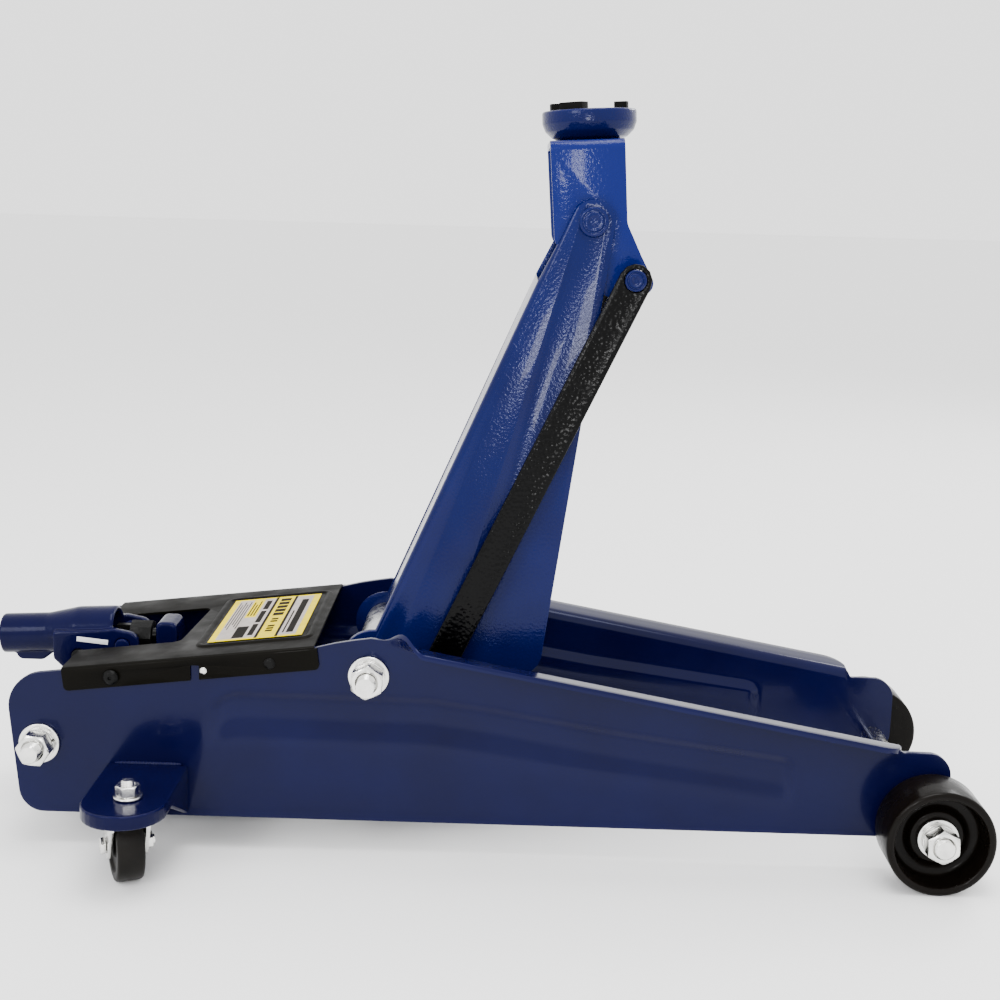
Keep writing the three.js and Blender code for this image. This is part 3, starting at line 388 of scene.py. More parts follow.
rubber_tones = (0.0012, 0.0012, 0.0011), (0.003, 0.003, 0.0028)
tread_tones = (0.003, 0.0026, 0.0022), (0.006, 0.005, 0.004)
pad_rubber = soft_black("pad_rubber", *rubber_tones, 0.6, 0.0001, 0.05)
caster_tread = soft_black("caster_tread", *tread_tones, 0.45, 0.00005, 0.1)
print("materials:", len(bpy.data.materials))

# %% [markdown]
# ## Making meshes
# Four ways cover most of the jack. A turned piece is a profile spun round its axis. A cut plate is
# an outline with thickness and rolled edges. A softened piece is a copy of the CAD mesh whose
# sharp edges are bevelled. A casting is a copy that is remeshed and smoothed, which fills its
# inner corners as sand casting does.

# %% Pieces and points
def shade(mesh, angle=35):
    """Smooth shading that breaks where faces meet at more than the angle."""
    mesh.polygons.foreach_set("use_smooth", [True] * len(mesh.polygons))
    mesh.set_sharp_from_angle(angle=math.radians(angle))
    mesh.update()


def piece(name, mesh, body, material, stands_for=(), angle=35):
    """Links a mesh as a piece of the jack: what it rides on, its finish and what it stands for."""
    mesh.name = name
    mesh.materials.clear()
    mesh.materials.append(material)
    shade(mesh, angle)
    made = bpy.data.objects.new(name, mesh)
    bpy.context.scene.collection.objects.link(made)
    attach(made, body)
    if stands_for:
        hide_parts(*stands_for)
    return made


def mesh_of(verts, faces):
    """A mesh from points and faces, with doubled points joined and its faces turned outwards."""
    mesh = bpy.data.meshes.new("mesh")
    mesh.from_pydata([tuple(v) for v in verts], [], faces)
    work = bmesh.new()
    work.from_mesh(mesh)
    bmesh.ops.remove_doubles(work, verts=work.verts, dist=1e-6)
    bmesh.ops.dissolve_degenerate(work, edges=work.edges, dist=1e-7)
    bmesh.ops.recalc_face_normals(work, faces=work.faces)
    work.to_mesh(mesh)
    work.free()
    return mesh


print("pieces can be linked")

# %% [markdown]
# ### Rounded outlines and turned pieces
# No real corner is perfectly sharp, so each outline gets small arcs before it is used. A lathe
# then turns the outline into a solid, and many segments keep its silhouette round.

# %% Rounded outlines and turned pieces
def rounded(points, radius, steps=4, closed=True):
    """An outline with arcs in place of its corners, each no longer than its edges allow."""
    out = []
    count = len(points)
    for i, point in enumerate(points):
        here = Vector(point[:2])
        r = point[2] if len(point) > 2 else radius
        if not closed and i in (0, count - 1) or r == 0:
            out.append(here)
            continue
        back = Vector(points[i - 1][:2]) - here
        ahead = Vector(points[(i + 1) % count][:2]) - here
        angle = back.angle(ahead, math.pi)
        if angle > math.pi - 0.02 or min(back.length, ahead.length) < 1e-9:
            out.append(here)
            continue
        reach = min(r / math.tan(angle / 2), 0.48 * min(back.length, ahead.length))
        start = here + back.normalized() * reach
        end = here + ahead.normalized() * reach
        bulge = (back.normalized() + ahead.normalized()).normalized()
        centre = here + bulge * (reach / math.cos(angle / 2))
        first, last = start - centre, end - centre
        for k in range(steps + 1):
            out.append(centre + first.slerp(last, k / steps).normalized() * first.length)
    return out


def turned(profile, centre, axis, segments=72, edge=0.4 * MM):
    """Spins a closed profile of (radius, height) points, in metres, round an axis."""
    axis = Vector(axis).normalized()
    side = axis.orthogonal().normalized()
    other = axis.cross(side)
    points = rounded(profile, edge, 3)
    verts = []
    for j in range(segments):
        angle = 2 * math.pi * j / segments
        out = math.cos(angle) * side + math.sin(angle) * other
        verts += [Vector(centre) + axis * p.y + out * max(p.x, 0) for p in points]
    count = len(points)
    faces = [
        (j * count + i, j * count + (i + 1) % count,
         (j + 1) % segments * count + (i + 1) % count, (j + 1) % segments * count + i)
        for j in range(segments)
        for i in range(count)
    ]
    return mesh_of(verts, faces)


print("outlines and turned pieces ready")

# %% [markdown]
# ### Plates and copies of CAD pieces
# The bevel only touches edges that are sharper than a set angle, so the facets of round faces
# stay as they are. Flat faces are joined up first, because a bevel follows every edge it finds.

# %% Bevels and plates
def bevelled(mesh, width, segments=2, sharpest=28):
    """Bevels every edge of a mesh whose faces meet at more than the angle."""
    work = bmesh.new()
    work.from_mesh(mesh)
    chosen = [
        e for e in work.edges
        if len(e.link_faces) == 2
        and e.calc_face_angle(0) > math.radians(sharpest)
    ]
    bmesh.ops.bevel(
        work, geom=chosen, offset=width, segments=segments, profile=0.5,
        affect="EDGES", clamp_overlap=True, loop_slide=True,
    )
    work.to_mesh(mesh)
    work.free()
    return mesh


def plate(outline, low, high, width=0.5 * MM, radius=0.0, steps=6):
    """A slab of an (x, z) outline between two y values, with rolled edges."""
    points = rounded(outline, radius, steps)
    count = len(points)
    verts = [(p.x, y, p.y) for y in (low, high) for p in points]
    faces = [tuple(range(count)), tuple(range(2 * count - 1, count - 1, -1))]
    faces += [(i, (i + 1) % count, count + (i + 1) % count, count + i) for i in range(count)]
    return bevelled(mesh_of(verts, faces), width)


print("bevels and plates ready")

# %% Copies of CAD pieces
def cleaned(node):
    """A copy of a CAD node's mesh with the flat faces joined up again."""
    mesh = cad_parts[node].data.copy()
    work = bmesh.new()
    work.from_mesh(mesh)
    bmesh.ops.remove_doubles(work, verts=work.verts, dist=2e-6)
    bmesh.ops.dissolve_limit(
        work, angle_limit=math.radians(1), verts=work.verts, edges=work.edges, delimit=set()
    )
    work.to_mesh(mesh)
    work.free()
    return mesh


def applied(mesh, *modifiers):
    """The mesh after a list of (type, settings) modifiers."""
    made = bpy.data.objects.new("work", mesh)
    bpy.context.scene.collection.objects.link(made)
    for kind, settings in modifiers:
        modifier = made.modifiers.new(kind, kind)
        for key, value in settings.items():
            setattr(modifier, key, value)
    shape = made.evaluated_get(bpy.context.evaluated_depsgraph_get())
    result = bpy.data.meshes.new_from_object(shape)
    bpy.data.objects.remove(made)
    return result


def casting(node, voxel, passes, *extras):
    """A copy of a CAD node, joined with extra shapes, with its corners rounded like a casting."""
    smooth = {"factor": 0.5, "iterations": passes}
    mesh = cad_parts[node].data.copy()
    work = bmesh.new()
    for part in (mesh, *extras):
        work.from_mesh(part)
    work.to_mesh(mesh)
    work.free()
    return applied(mesh, ("REMESH", {"mode": "VOXEL", "voxel_size": voxel}), ("SMOOTH", smooth))


print("CAD pieces can be copied, softened and cast")

# %% [markdown]
# ## Side plates
# Each plate is pressed from one sheet: a flat wall, an outward flange rolled over its sloping top
# edge, and a long groove pressed inwards. It is made as a loft. Each station along the plate is a
# closed section through the sheet, and the rows follow the top edge, so that the groove's slope
# gets rows of its own and stays smooth under gloss paint.

# %% Measures of a plate
plate_back = span("near_side_plate", 0)[0]
plate_front = span("near_side_plate", 0)[1]
plate_low = span("near_side_plate", 2)[0]
sheet = 3.5 * MM
lean = 8 * MM
crest = Vector((axle.x - 349 * MM, 142.5 * MM))
crest_foot = Vector((axle.x - 385 * MM, 134.3 * MM))
back_top = Vector((plate_back, 111 * MM))
flange_end = Vector((axle.x - 21 * MM, 84 * MM))
flange_start = axle.x - 343 * MM
flange_reach = 20 * MM
bend_radius = 7 * MM
nose_top = 78 * MM
groove_back = axle.x - 455 * MM
groove_front = axle.x - 83 * MM
groove_line = [(-455, 106), (-431, 106), (-314, 105), (-275, 100), (-207, 89), (-83, 72.5)]
groove_depth = 3.3 * MM
nose_radius = 15 * MM
rear_radius = 22 * MM
foot_radius = 14 * MM
print("plate runs from", round(plate_back, 3), "to", round(plate_front, 3))

# %% [markdown]
# ### The top edge and the groove
# The edge and the groove are written as heights over the length, because the loft asks for both
# at each of its stations. The groove has a steep upper slope, which catches the light as a line,
# and a long lower one that fades into the wall.

# %% Top and bottom edges
def along(points, x):
    """The height of a line of points at x."""
    for (x0, z0), (x1, z1) in zip(points, points[1:]):
        if x <= x1:
            return z0 + (z1 - z0) * (x - x0) / (x1 - x0)
    return points[-1][1]


def ease(value):
    """A smooth step from 0 to 1."""
    value = min(max(value, 0), 1)
    return value * value * (3 - 2 * value)


top_line = [
    (back_top.x, back_top.y), (crest_foot.x - 10 * MM, crest_foot.y - 1.2 * MM),
    (crest_foot.x, crest_foot.y + 0.6 * MM), (crest_foot.x + 12 * MM, crest_foot.y + 3.6 * MM),
    (crest.x - 12 * MM, crest.y - 2.4 * MM), (crest.x - 2 * MM, crest.y - 0.9 * MM),
    (crest.x + 8 * MM, crest.y - 1.9 * MM), (flange_end.x, flange_end.y),
]


def corner(distance, radius):
    """How far a rounded corner has pulled the edge back, at a distance from the end."""
    if distance >= radius:
        return 0
    return radius - math.sqrt(max(radius**2 - (radius - distance) ** 2, 0))


def wall_top(x):
    """The height of the plate's top edge."""
    if x > flange_end.x:
        step = ease((x - flange_end.x) / (3 * MM))
        height = nose_top + (flange_end.y - bend_radius * 0.2 - nose_top) * (1 - step)
        return height - corner(plate_front - x, nose_radius)
    return along(top_line, x) - corner(x - plate_back, rear_radius)


def wall_bottom(x):
    """The height of the plate's bottom edge."""
    return plate_low + corner(x - plate_back, foot_radius) + corner(plate_front - x, foot_radius)


print("the crest stands", round(wall_top(crest.x) * 1000, 1), "mm high")

# %% The pressed groove
rear_arc = 24 * MM
front_arc, front_drop = 9 * MM, 12 * MM
rear_fade, front_fade = 14 * MM, 8 * MM
upper_slope = 6 * MM
lower_start, lower_slope = 13 * MM, 24 * MM


def fallen(distance, length):
    """How far a quarter of an ellipse has fallen, as a share of its height."""
    return 1 - math.sqrt(max(1 - max(distance / length, 0) ** 2, 0))


def groove(x, z):
    """How far the sheet is pressed inwards at a point of the wall."""
    if x < groove_back or x > groove_front:
        return 0
    upper = along([(axle.x + a * MM, b * MM) for a, b in groove_line], x)
    upper -= rear_arc * fallen(groove_back + rear_arc - x, rear_arc)
    upper -= front_drop * fallen(x - groove_front + front_arc, front_arc)
    below = upper - z
    ends = ease((x - groove_back) / rear_fade) * ease((groove_front - x) / front_fade)
    rise = min(max(below / upper_slope, 0), 1)
    return groove_depth * ends * rise * (1 - ease((below - lower_start) / lower_slope))


def bend_amount(x):
    """1 where the flange is fully rolled over, 0 where the wall stays upright."""
    return ease((x - flange_start) / (26 * MM)) * (1 if x < flange_end.x else 0)


print("the groove is", round((groove_front - groove_back) * 1000), "mm long")

# %% [markdown]
# ### The loft
# Each section walks up the wall's middle line, round the bend and out along the flange, and the
# two faces lie half a sheet to each side of it. That keeps the thickness the same everywhere, as
# it is in a pressing. The last step joins the sections and closes both ends.

# %% Section of a plate
flange_angle = math.radians(84)
straight = 0.05


def plate_section(x):
    """The sheet's section as a closed ring: out along one face and back along the other."""
    low, high = wall_bottom(x), wall_top(x)
    amount = bend_amount(x)
    angle = flange_angle * amount
    foot = high - bend_radius * (0.35 + 0.65 * amount) if amount else high - bend_radius
    reach = flange_reach - corner(flange_end.x - x, nose_radius)
    run = (high - foot) * (1 - amount) + amount * (0.5 * bend_radius + reach)
    middle_radius = bend_radius - sheet / 2
    split = low + 0.42 * (foot - low)
    heights = [low + (split - low) * k / 6 for k in range(6)]
    heights += [split + (foot - split) * k / 30 for k in range(31)]
    path = [(half_width - sheet / 2 - groove(x, z), z, 0.0) for z in heights]
    arc = middle_radius * angle
    bent = angle > straight
    samples = [run * k / 10 for k in range(1, 11)]
    if bent:
        samples = [min(arc, run) * k / 7 for k in range(1, 8)]
        samples += [arc + max(run - arc, 1e-5) * k / 3 for k in range(1, 4)]
    for travelled in samples:
        by = min(travelled / arc, 1) * angle if bent else 0
        out = middle_radius * (1 - math.cos(by)) if bent else 0
        up = middle_radius * math.sin(by) if bent else travelled
        if bent and travelled > arc:
            out += (travelled - arc) * math.sin(angle)
            up += (travelled - arc) * math.cos(angle)
        path.append((half_width - sheet / 2 + out, foot + up, by))
    outer = [(a + math.cos(by) * sheet / 2, z - math.sin(by) * sheet / 2) for a, z, by in path]
    inner = [(a - math.cos(by) * sheet / 2, z + math.sin(by) * sheet / 2) for a, z, by in path]
    return outer + inner[::-1]


def stations():
    """Where the sections stand: close together in the corners and at the bends."""
    marks = [plate_back + rear_radius * (1 - math.cos(k * math.pi / 20)) for k in range(10)]
    start = plate_back + rear_radius
    marks += [start + (flange_end.x - start) * k / 190 for k in range(191)]
    marks += [flange_end.x - nose_radius * (1 - math.sin(k * math.pi / 16)) for k in range(8)]
    marks += [flange_end.x + step * MM for step in (0.4, 1.2, 2.2, 3.4, 6, 9)]
    nose = plate_front - nose_radius
    marks += [nose + nose_radius * math.sin(k * math.pi / 20) for k in range(1, 11)]
    return sorted(set(round(mark, 7) for mark in marks))


print("a plate has", len(stations()), "sections of", len(plate_section(crest.x)), "points")

# %% Loft both plates
lean_fade = 90 * MM


def side_plate(sign):
    """The lofted plate on one side, its ends closed and its rear edge leaning."""
    marks = stations()
    rings = [plate_section(x) for x in marks]
    count = len(rings[0])
    verts = []
    for x, ring in zip(marks, rings):
        for out, z in ring:
            tilt = lean * (1 - (z - plate_low) / (back_top.y - plate_low))
            fade = 1 - ease((x - plate_back) / lean_fade)
            verts.append((x + tilt * fade, sign * out, z))
    faces = []
    for i in range(0, (len(marks) - 1) * count, count):
        for j in range(count):
            k = (j + 1) % count
            faces.append((i + j, i + k, i + count + k, i + count + j))
    for base in (0, (len(marks) - 1) * count):
        last = base + count - 1
        faces += [(base + j, base + j + 1, last - 1 - j, last - j) for j in range(count // 2 - 1)]
    return mesh_of(verts, faces)


for side, sign in SIDES:
    name = side + "_side_plate"
    mesh = bevelled(side_plate(sign), 0.5 * MM, 2, 60)
    piece(name + "_pressed", mesh, "chassis", sheet_blue, [name])
    print(name, "has", len(mesh.polygons), "faces")

# %% [markdown]
# ## Threads
# The bolt ends get a real helical thread, because bright zinc shows every groove. The rod is a
# pile of rings whose radius swings with the angle, one full swing to each pitch.

# %% Threads
THREAD_R = 6 * MM
PITCH = 1.75 * MM
TIP_CONE = 0.9 * MM


def ringed(rings, segments):
    """Skins a closed body over rings of points, the first and last closed by a flat face."""
    verts = [v for ring in rings for v in ring]
    faces = []
    for i in range(0, (len(rings) - 1) * segments, segments):
        for j in range(segments):
            k = (j + 1) % segments
            faces.append((i + j, i + k, i + segments + k, i + segments + j))
    faces.append(tuple(range(segments)))
    last = (len(rings) - 1) * segments
    faces.append(tuple(range(last, last + segments)))
    return mesh_of(verts, faces)


def frame_of(axis):
    """Two directions square to an axis."""
    axis = Vector(axis).normalized()
    side = axis.orthogonal().normalized()
    return axis, side, axis.cross(side)


def threaded(centre, axis, sections, segments=48):
    """A rod of (start, end, radius, pitch) sections; a pitch of 0 leaves a section plain."""
    axis, side, other = frame_of(axis)
    rings = []
    for start, end, radius, pitch in sections:
        count = max(int((end - start) / pitch * 8), 1) if pitch else 1
        for k in range(count + 1):
            height = start + (end - start) * k / count
            ring = []
            for j in range(segments):
                angle = 2 * math.pi * j / segments
                r = radius
                if pitch:
                    phase = (height / pitch - j / segments) % 1
                    r -= 0.5 * pitch * abs(2 * phase - 1)
                    r = min(r, radius - TIP_CONE + (end - height))
                out = math.cos(angle) * side + math.sin(angle) * other
                ring.append(Vector(centre) + axis * height + out * r)
            rings.append(ring)
    return ringed(rings, segments)


print("thread of", round(PITCH * 1000, 2), "mm pitch ready")

# %% [markdown]
# ### Nuts
# A pressed nut has a cone cut across its six corners, and a dished face round its thread. Each
# ring of its skin takes the smaller of the hexagon's radius and the cone's, which leaves the
# curved chamfer that every real nut has.

# %% Nuts
NUT_FLATS = 19 * MM
CONE_SLOPE = 1.732


def hex_nut(centre, axis, flats, height, bore, turn=0.0, segments=96):
    """A nut standing from its centre along the axis, with its corners coned off."""
    axis, side, other = frame_of(axis)
    apothem = flats / 2
    cone = apothem * 0.95
    steps = [0, 0.25, 0.5, 0.8, 1.15, 1.5]
    heights = [value * MM * flats / NUT_FLATS for value in steps]
    levels = [(h, h) for h in heights] + [(height - h, h) for h in reversed(heights)]
    rings = []
    for level, depth in levels:
        ring = []
        for j in range(segments):
            angle = 2 * math.pi * j / segments
            across = (angle + turn) % (math.pi / 3) - math.pi / 6
            r = min(apothem / math.cos(across), cone + depth * CONE_SLOPE)
            ring.append((angle, r, level))
        rings.append(ring)
    chamfer = [(angle, bore * 1.16, height) for angle, r, level in rings[0]]
    deep = [(angle, bore, height - bore * 0.16) for angle, r, level in rings[0]]
    foot = [(angle, bore, 0) for angle, r, level in rings[0]]
    rings += [chamfer, deep, foot]
    points = [
        Vector(centre) + axis * level + (math.cos(angle) * side + math.sin(angle) * other) * r
        for ring in rings
        for angle, r, level in ring
    ]
    faces = []
    count = len(rings)
    for i in range(count):
        for j in range(segments):
            k, n = (j + 1) % segments, (i + 1) % count
            faces.append((i * segments + j, i * segments + k, n * segments + k, n * segments + j))
    return mesh_of(points, faces)


print("nuts measure", round(NUT_FLATS * 1000, 1), "mm across their flats")

# %% [markdown]
# ### Washers
# A flat washer is stamped, so its outer edge is rolled. A lock washer is a square wire bent into
# a ring, cut through and sprung open, and the step at its cut is what makes it look real.

# %% Washers
CORNER_CUT = 0.35 * MM


def split_ring(centre, axis, outer, inner, height, opening=9.0, rise=0.5 * MM, start=0.6):
    """A spring washer: a square-section ring, cut through and sprung a little open."""
    axis, side, other = frame_of(axis)
    steps = 64
    top = height - rise
    section = rounded([(inner, 0), (outer, 0), (outer, top), (inner, top)], CORNER_CUT, 2)
    gap = math.radians(opening)
    verts = []
    for j in range(steps + 1):
        angle = start + math.radians(opening / 2) + (2 * math.pi - gap) * j / steps
        out = math.cos(angle) * side + math.sin(angle) * other
        verts += [Vector(centre) + axis * (p.y + rise * j / steps) + out * p.x for p in section]
    count = len(section)
    faces = []
    for j in range(0, steps * count, count):
        for i in range(count):
            k = (i + 1) % count
            faces.append((j + i, j + k, j + count + k, j + count + i))
    faces += [tuple(range(count)), tuple(range(steps * count, (steps + 1) * count))]
    return mesh_of(verts, faces)


def washer(centre, axis, outer, inner, height):
    """A stamped flat washer with a rolled outer edge."""
    profile = [(inner, 0), (outer, 0), (outer, height), (inner, height)]
    return turned(profile, centre, axis, 64, 0.6 * MM)


print("washers ready")

# %% [markdown]
# ### Stacks on the shafts
# Each shaft end carries a flat washer, a lock washer and a nut, in that order, as the real ones
# do. The nuts are turned by different amounts, because nobody lines nuts up by hand.

# %% Stacks on the shafts
flat_radius, flat_height = 12.8 * MM, 2.5 * MM
lock_radius, lock_gap = 10.4 * MM, 0.05 * MM
nut_height = 10 * MM
nut_bore = THREAD_R + 0.15 * MM


def washer_pair(washers, centre, sign, lock_height, lock_start):
    """The flat washer and the lock washer that stand for one CAD stack."""
    start = min(abs(value) for value in span(washers, 1))
    seat = Vector((centre.x, sign * start, centre.z))
    flat = washer(seat, (0, sign, 0), flat_radius, THREAD_R + GAP, flat_height)
    piece(washers + "_flat", flat, "chassis", zinc_plate, [washers])
    seat.y = sign * (start + flat_height + lock_gap)
    lock = split_ring(seat, (0, sign, 0), lock_radius, THREAD_R + GAP, lock_height, start=lock_start)
    piece(washers + "_lock", lock, "chassis", zinc_plate)


def stack_nut(nut, centre, sign, turn):
    """The nut that closes a stack."""
    seat = Vector((centre.x, sign * min(abs(value) for value in span(nut, 1)), centre.z))
    hexagon = hex_nut(seat, (0, sign, 0), NUT_FLATS, nut_height, nut_bore, turn)
    piece(nut + "_hex", hexagon, "chassis", zinc_plate, [nut], 25)


for side, sign in SIDES:
    for shaft_name, centre, turn in (("pivot", pivot, 0.35), ("tie", tie, 0.9)):
        washers = side + "_" + shaft_name + "_washers"
        start, end = sorted(abs(value) for value in span(washers, 1))
        washer_pair(washers, centre, sign, end - start - flat_height, turn * 3)
        stack_nut(side + "_" + shaft_name + "_nut", centre, sign, turn)
print("nuts stand on", len(SIDES) * 2, "shaft ends")

# %% Pivot shaft and tie studs
threaded_length = 24 * MM
shoulder_r, journal_r = 8.2 * MM, 9 * MM
bolt_end = max(abs(value) for value in span("arm_pivot_shaft", 1))
plain = bolt_end - threaded_length
shaft = threaded(
    (pivot.x, 0, pivot.z), (0, 1, 0),
    [
        (-bolt_end, -plain, THREAD_R, PITCH), (-plain + 0.1 * MM, -plate_inner, THREAD_R, 0),
        (-plate_inner + 0.1 * MM, -plate_inner + 1 * MM, shoulder_r, 0),
        (-plate_inner + 1.8 * MM, plate_inner - 1.8 * MM, journal_r, 0),
        (plate_inner - 1 * MM, plate_inner - 0.1 * MM, shoulder_r, 0),
        (plate_inner, plain - 0.1 * MM, THREAD_R, 0), (plain, bolt_end, THREAD_R, PITCH),
    ],
)
piece("arm_pivot_shaft_turned", shaft, "chassis", zinc_plate, ["arm_pivot_shaft"])
for side, sign in SIDES:
    inner, outer = sorted(abs(value) for value in span(side + "_tie_stud", 1))
    sections = [(inner, plain, THREAD_R, 0), (plain, outer, THREAD_R, PITCH)]
    stud = threaded((tie.x, 0, tie.z), (0, sign, 0), sections)
    piece(side + "_tie_stud_turned", stud, "chassis", zinc_plate, [side + "_tie_stud"])
print("stacks stand", round((bolt_end - half_width) * 1000, 1), "mm out of the plates")

# %% [markdown]
# ## Front wheels
# Iron wheels, cast and painted: a thick rim, a dished side and a hub boss turned flat for its
# washer. The fillets between rim, web and boss are what make them read as castings.

# %% Front wheels
wheel_r = (span("near_front_wheel", 0)[1] - span("near_front_wheel", 0)[0]) / 2
bore = 8.3 * MM
wheel_lock_height = 2.95 * MM
for side, sign in SIDES:
    name = side + "_front_wheel"
    inner, outer = sorted(abs(value) for value in span(name, 1))
    width = outer - inner
    washer_start = min(abs(value) for value in span(side + "_wheel_washer", 1))
    hub_face = washer_start - 0.7 * MM - inner
    dish = hub_face - 5.5 * MM
    profile = [
        (bore, 0), (wheel_r - 6 * MM, 0, 1 * MM), (wheel_r, 0, 2.2 * MM), (wheel_r, width, 2.6 * MM),
        (wheel_r - 5 * MM, width, 2 * MM), (wheel_r - 6.4 * MM, dish, 4 * MM), (19 * MM, dish, 3 * MM),
        (16.5 * MM, hub_face, 1.5 * MM), (bore, hub_face, 0.8 * MM),
    ]
    wheel = turned(profile, (axle.x, sign * inner, axle.z), (0, sign, 0), 128)
    piece(name + "_cast", wheel, name, wheel_black, [name])
    washer_pair(side + "_wheel_washer", axle, sign, wheel_lock_height, 0.6)
    stack_nut(side + "_wheel_nut", axle, sign, 0.2)
print("wheel radius", round(wheel_r, 4))

# %% [markdown]
# ### Front axle
# The axle is one turned bar: thick between the plates, a collar at each side, a journal under
# each wheel and a thread at each end. Half of it is listed, and the other half is its mirror.

# %% Front axle
axle_r, collar_r = 8 * MM, 12 * MM
axle_end = max(abs(value) for value in span("front_axle", 1))
journal = min(abs(value) for value in span("near_wheel_washer", 1)) - GAP
collar = min(abs(value) for value in span("near_front_wheel", 1)) - GAP
half_axle = [
    (0, half_width + 0.3 * MM, axle_r, 0), (half_width + 0.35 * MM, collar, collar_r, 0),
    (collar + 0.05 * MM, journal, axle_r, 0), (journal + 0.05 * MM, axle_end, THREAD_R, PITCH),
]
mirrored = [(-end, -start, radius, pitch) for start, end, radius, pitch in reversed(half_axle)]
axle_mesh = threaded((axle.x, 0, axle.z), (0, 1, 0), mirrored + half_axle)
piece("front_axle_turned", axle_mesh, "chassis", zinc_plate, ["front_axle"])
print("axle length", round(2 * axle_end, 4))

# %% [markdown]
# ## Bent sheet
# The lift arm, the saddle bracket and the cover are folded from sheet, and a fold is round. The
# CAD pieces have a sharp corner there. Round_fold slices a copy of the piece near its corner and
# moves the slices onto an arc, inside and outside together, so that the sheet keeps its thickness.

# %% Rolling a fold
def round_fold(mesh, corner_point, out_a, out_b, radius, steps=5):
    """Rounds the corner where the face looking along out_a meets the face looking along out_b."""
    work = bmesh.new()
    work.from_mesh(mesh)
    corner_point = Vector(corner_point)
    out_a, out_b = Vector(out_a).normalized(), Vector(out_b).normalized()
    for k in range(steps + 1):
        depth = radius * (1 - math.tan(math.pi / 4 * k / steps))
        for out in (out_a, out_b):
            bmesh.ops.bisect_plane(
                work, geom=work.verts[:] + work.edges[:] + work.faces[:], dist=1e-7,
                plane_co=corner_point - out * (max(depth, 1e-7) if depth else 1e-5),
                plane_no=out,
            )
    for vert in work.verts:
        away = vert.co - corner_point
        u, v = radius + away.dot(out_a), radius + away.dot(out_b)
        if u > 1e-9 and v > 1e-9:
            length = math.hypot(u, v)
            shrink = max(u, v) / length - 1
            vert.co += out_a * (u * shrink) + out_b * (v * shrink)
    bmesh.ops.remove_doubles(work, verts=work.verts, dist=1e-6)
    work.to_mesh(mesh)
    work.free()
    return mesh


print("folds can be rolled")

# %% Directions of the arm
arm_dir = Vector((eye.x - pivot.x, 0, eye.z - pivot.z)).normalized()
arm_side = Vector((arm_dir.z, 0, -arm_dir.x))
cheek_outer = span("lift_arm", 1)[1]


def on_arm(s, t):
    """A point of the middle plane at s along the arm and t to its front side, in metres."""
    return Vector((pivot.x, 0, pivot.z)) + arm_dir * s + arm_side * t


print("arm width", round(2 * cheek_outer, 4))

# %% [markdown]
# ## Lift arm
# The arm is a deep channel: a web along its back and two cheeks that reach down to the lever.
# Its fold is rounded to about the thickness of the sheet, and the cut edges are dulled.

# %% Lift arm
arm_fold = 4.5 * MM
web_start, web_end = on_arm(26 * MM, -7.2 * MM), on_arm(262 * MM, -14.4 * MM)
web_dir = (web_end - web_start).normalized()
web_out = Vector((-web_dir.z, 0, web_dir.x))
arm_mesh = cleaned("lift_arm")
for side, sign in SIDES:
    edge_point = web_start + Vector((0, sign * cheek_outer, 0))
    round_fold(arm_mesh, edge_point, web_out, (0, sign, 0), arm_fold)
bevelled(arm_mesh, 0.55 * MM, 2, 30)
piece("lift_arm_pressed", arm_mesh, "lift_arm", arm_blue, ["lift_arm"], 30)
print("arm has", len(arm_mesh.polygons), "faces")

# %% [markdown]
# ### Pins of the arm
# The pins are peened over, which leaves a ring round a shallow dimple on each head. The lever pin
# and the spacer sleeve are plain ground bars, so a turned profile with dulled ends is enough.

# %% Pins of the arm
def peened_pin(centre, length, radius, head_radius, head_height):
    """A pin with a low round head at each end, each head with a ring and a dimple."""
    half = length / 2
    head = [
        (0, half - 0.7 * MM), (head_radius * 0.28, half - 0.9 * MM), (head_radius * 0.42, half - 0.1 * MM),
        (head_radius * 0.62, half), (head_radius * 0.7, half - 0.7 * MM),
        (head_radius * 0.78, half - 0.7 * MM), (head_radius * 0.86, half - 0.1 * MM),
        (head_radius, half - 0.8 * MM),
        (head_radius, half - head_height), (radius, half - head_height),
    ]
    profile = [(r, -h) for r, h in head] + [(r, h) for r, h in reversed(head)]
    return turned(profile, centre, (0, 1, 0), 72, 0.3 * MM)


eye_low, eye_high = span("arm_top_pin", 1)
top_pin = peened_pin((eye.x, 0, eye.z), eye_high - eye_low, 7.5 * MM, 8.9 * MM, 2.6 * MM)
piece("arm_top_pin_peened", top_pin, "lift_arm", arm_blue, ["arm_top_pin"])


def ground_bar(name, body, centre, inner, outer, half, edge):
    """A plain turned bar or sleeve across the jack, with dulled ends."""
    profile = [(inner, -half), (outer, -half), (outer, half), (inner, half)]
    bar = turned(profile, (centre.x, 0, centre.z), (0, 1, 0), 64, edge)
    piece(name + "_turned", bar, body, ground_steel, [name])


lever_half, sleeve_half = span("lever_pin", 1)[1], span("arm_pivot_sleeve", 1)[1]
ground_bar("lever_pin", "lift_arm", middle("lever_pin"), 0, 8 * MM, lever_half, 1 * MM)
ground_bar("arm_pivot_sleeve", "chassis", pivot, 9.3 * MM, 13.5 * MM, sleeve_half, 0.6 * MM)
print("top pin spans", round(eye_high - eye_low, 4))

# %% [markdown]
# ## Links
# Two black bars keep the saddle level as the arm swings. They are cut from bar and painted
# thickly, so their edges are soft: a wide bevel of three segments on the CAD shape.

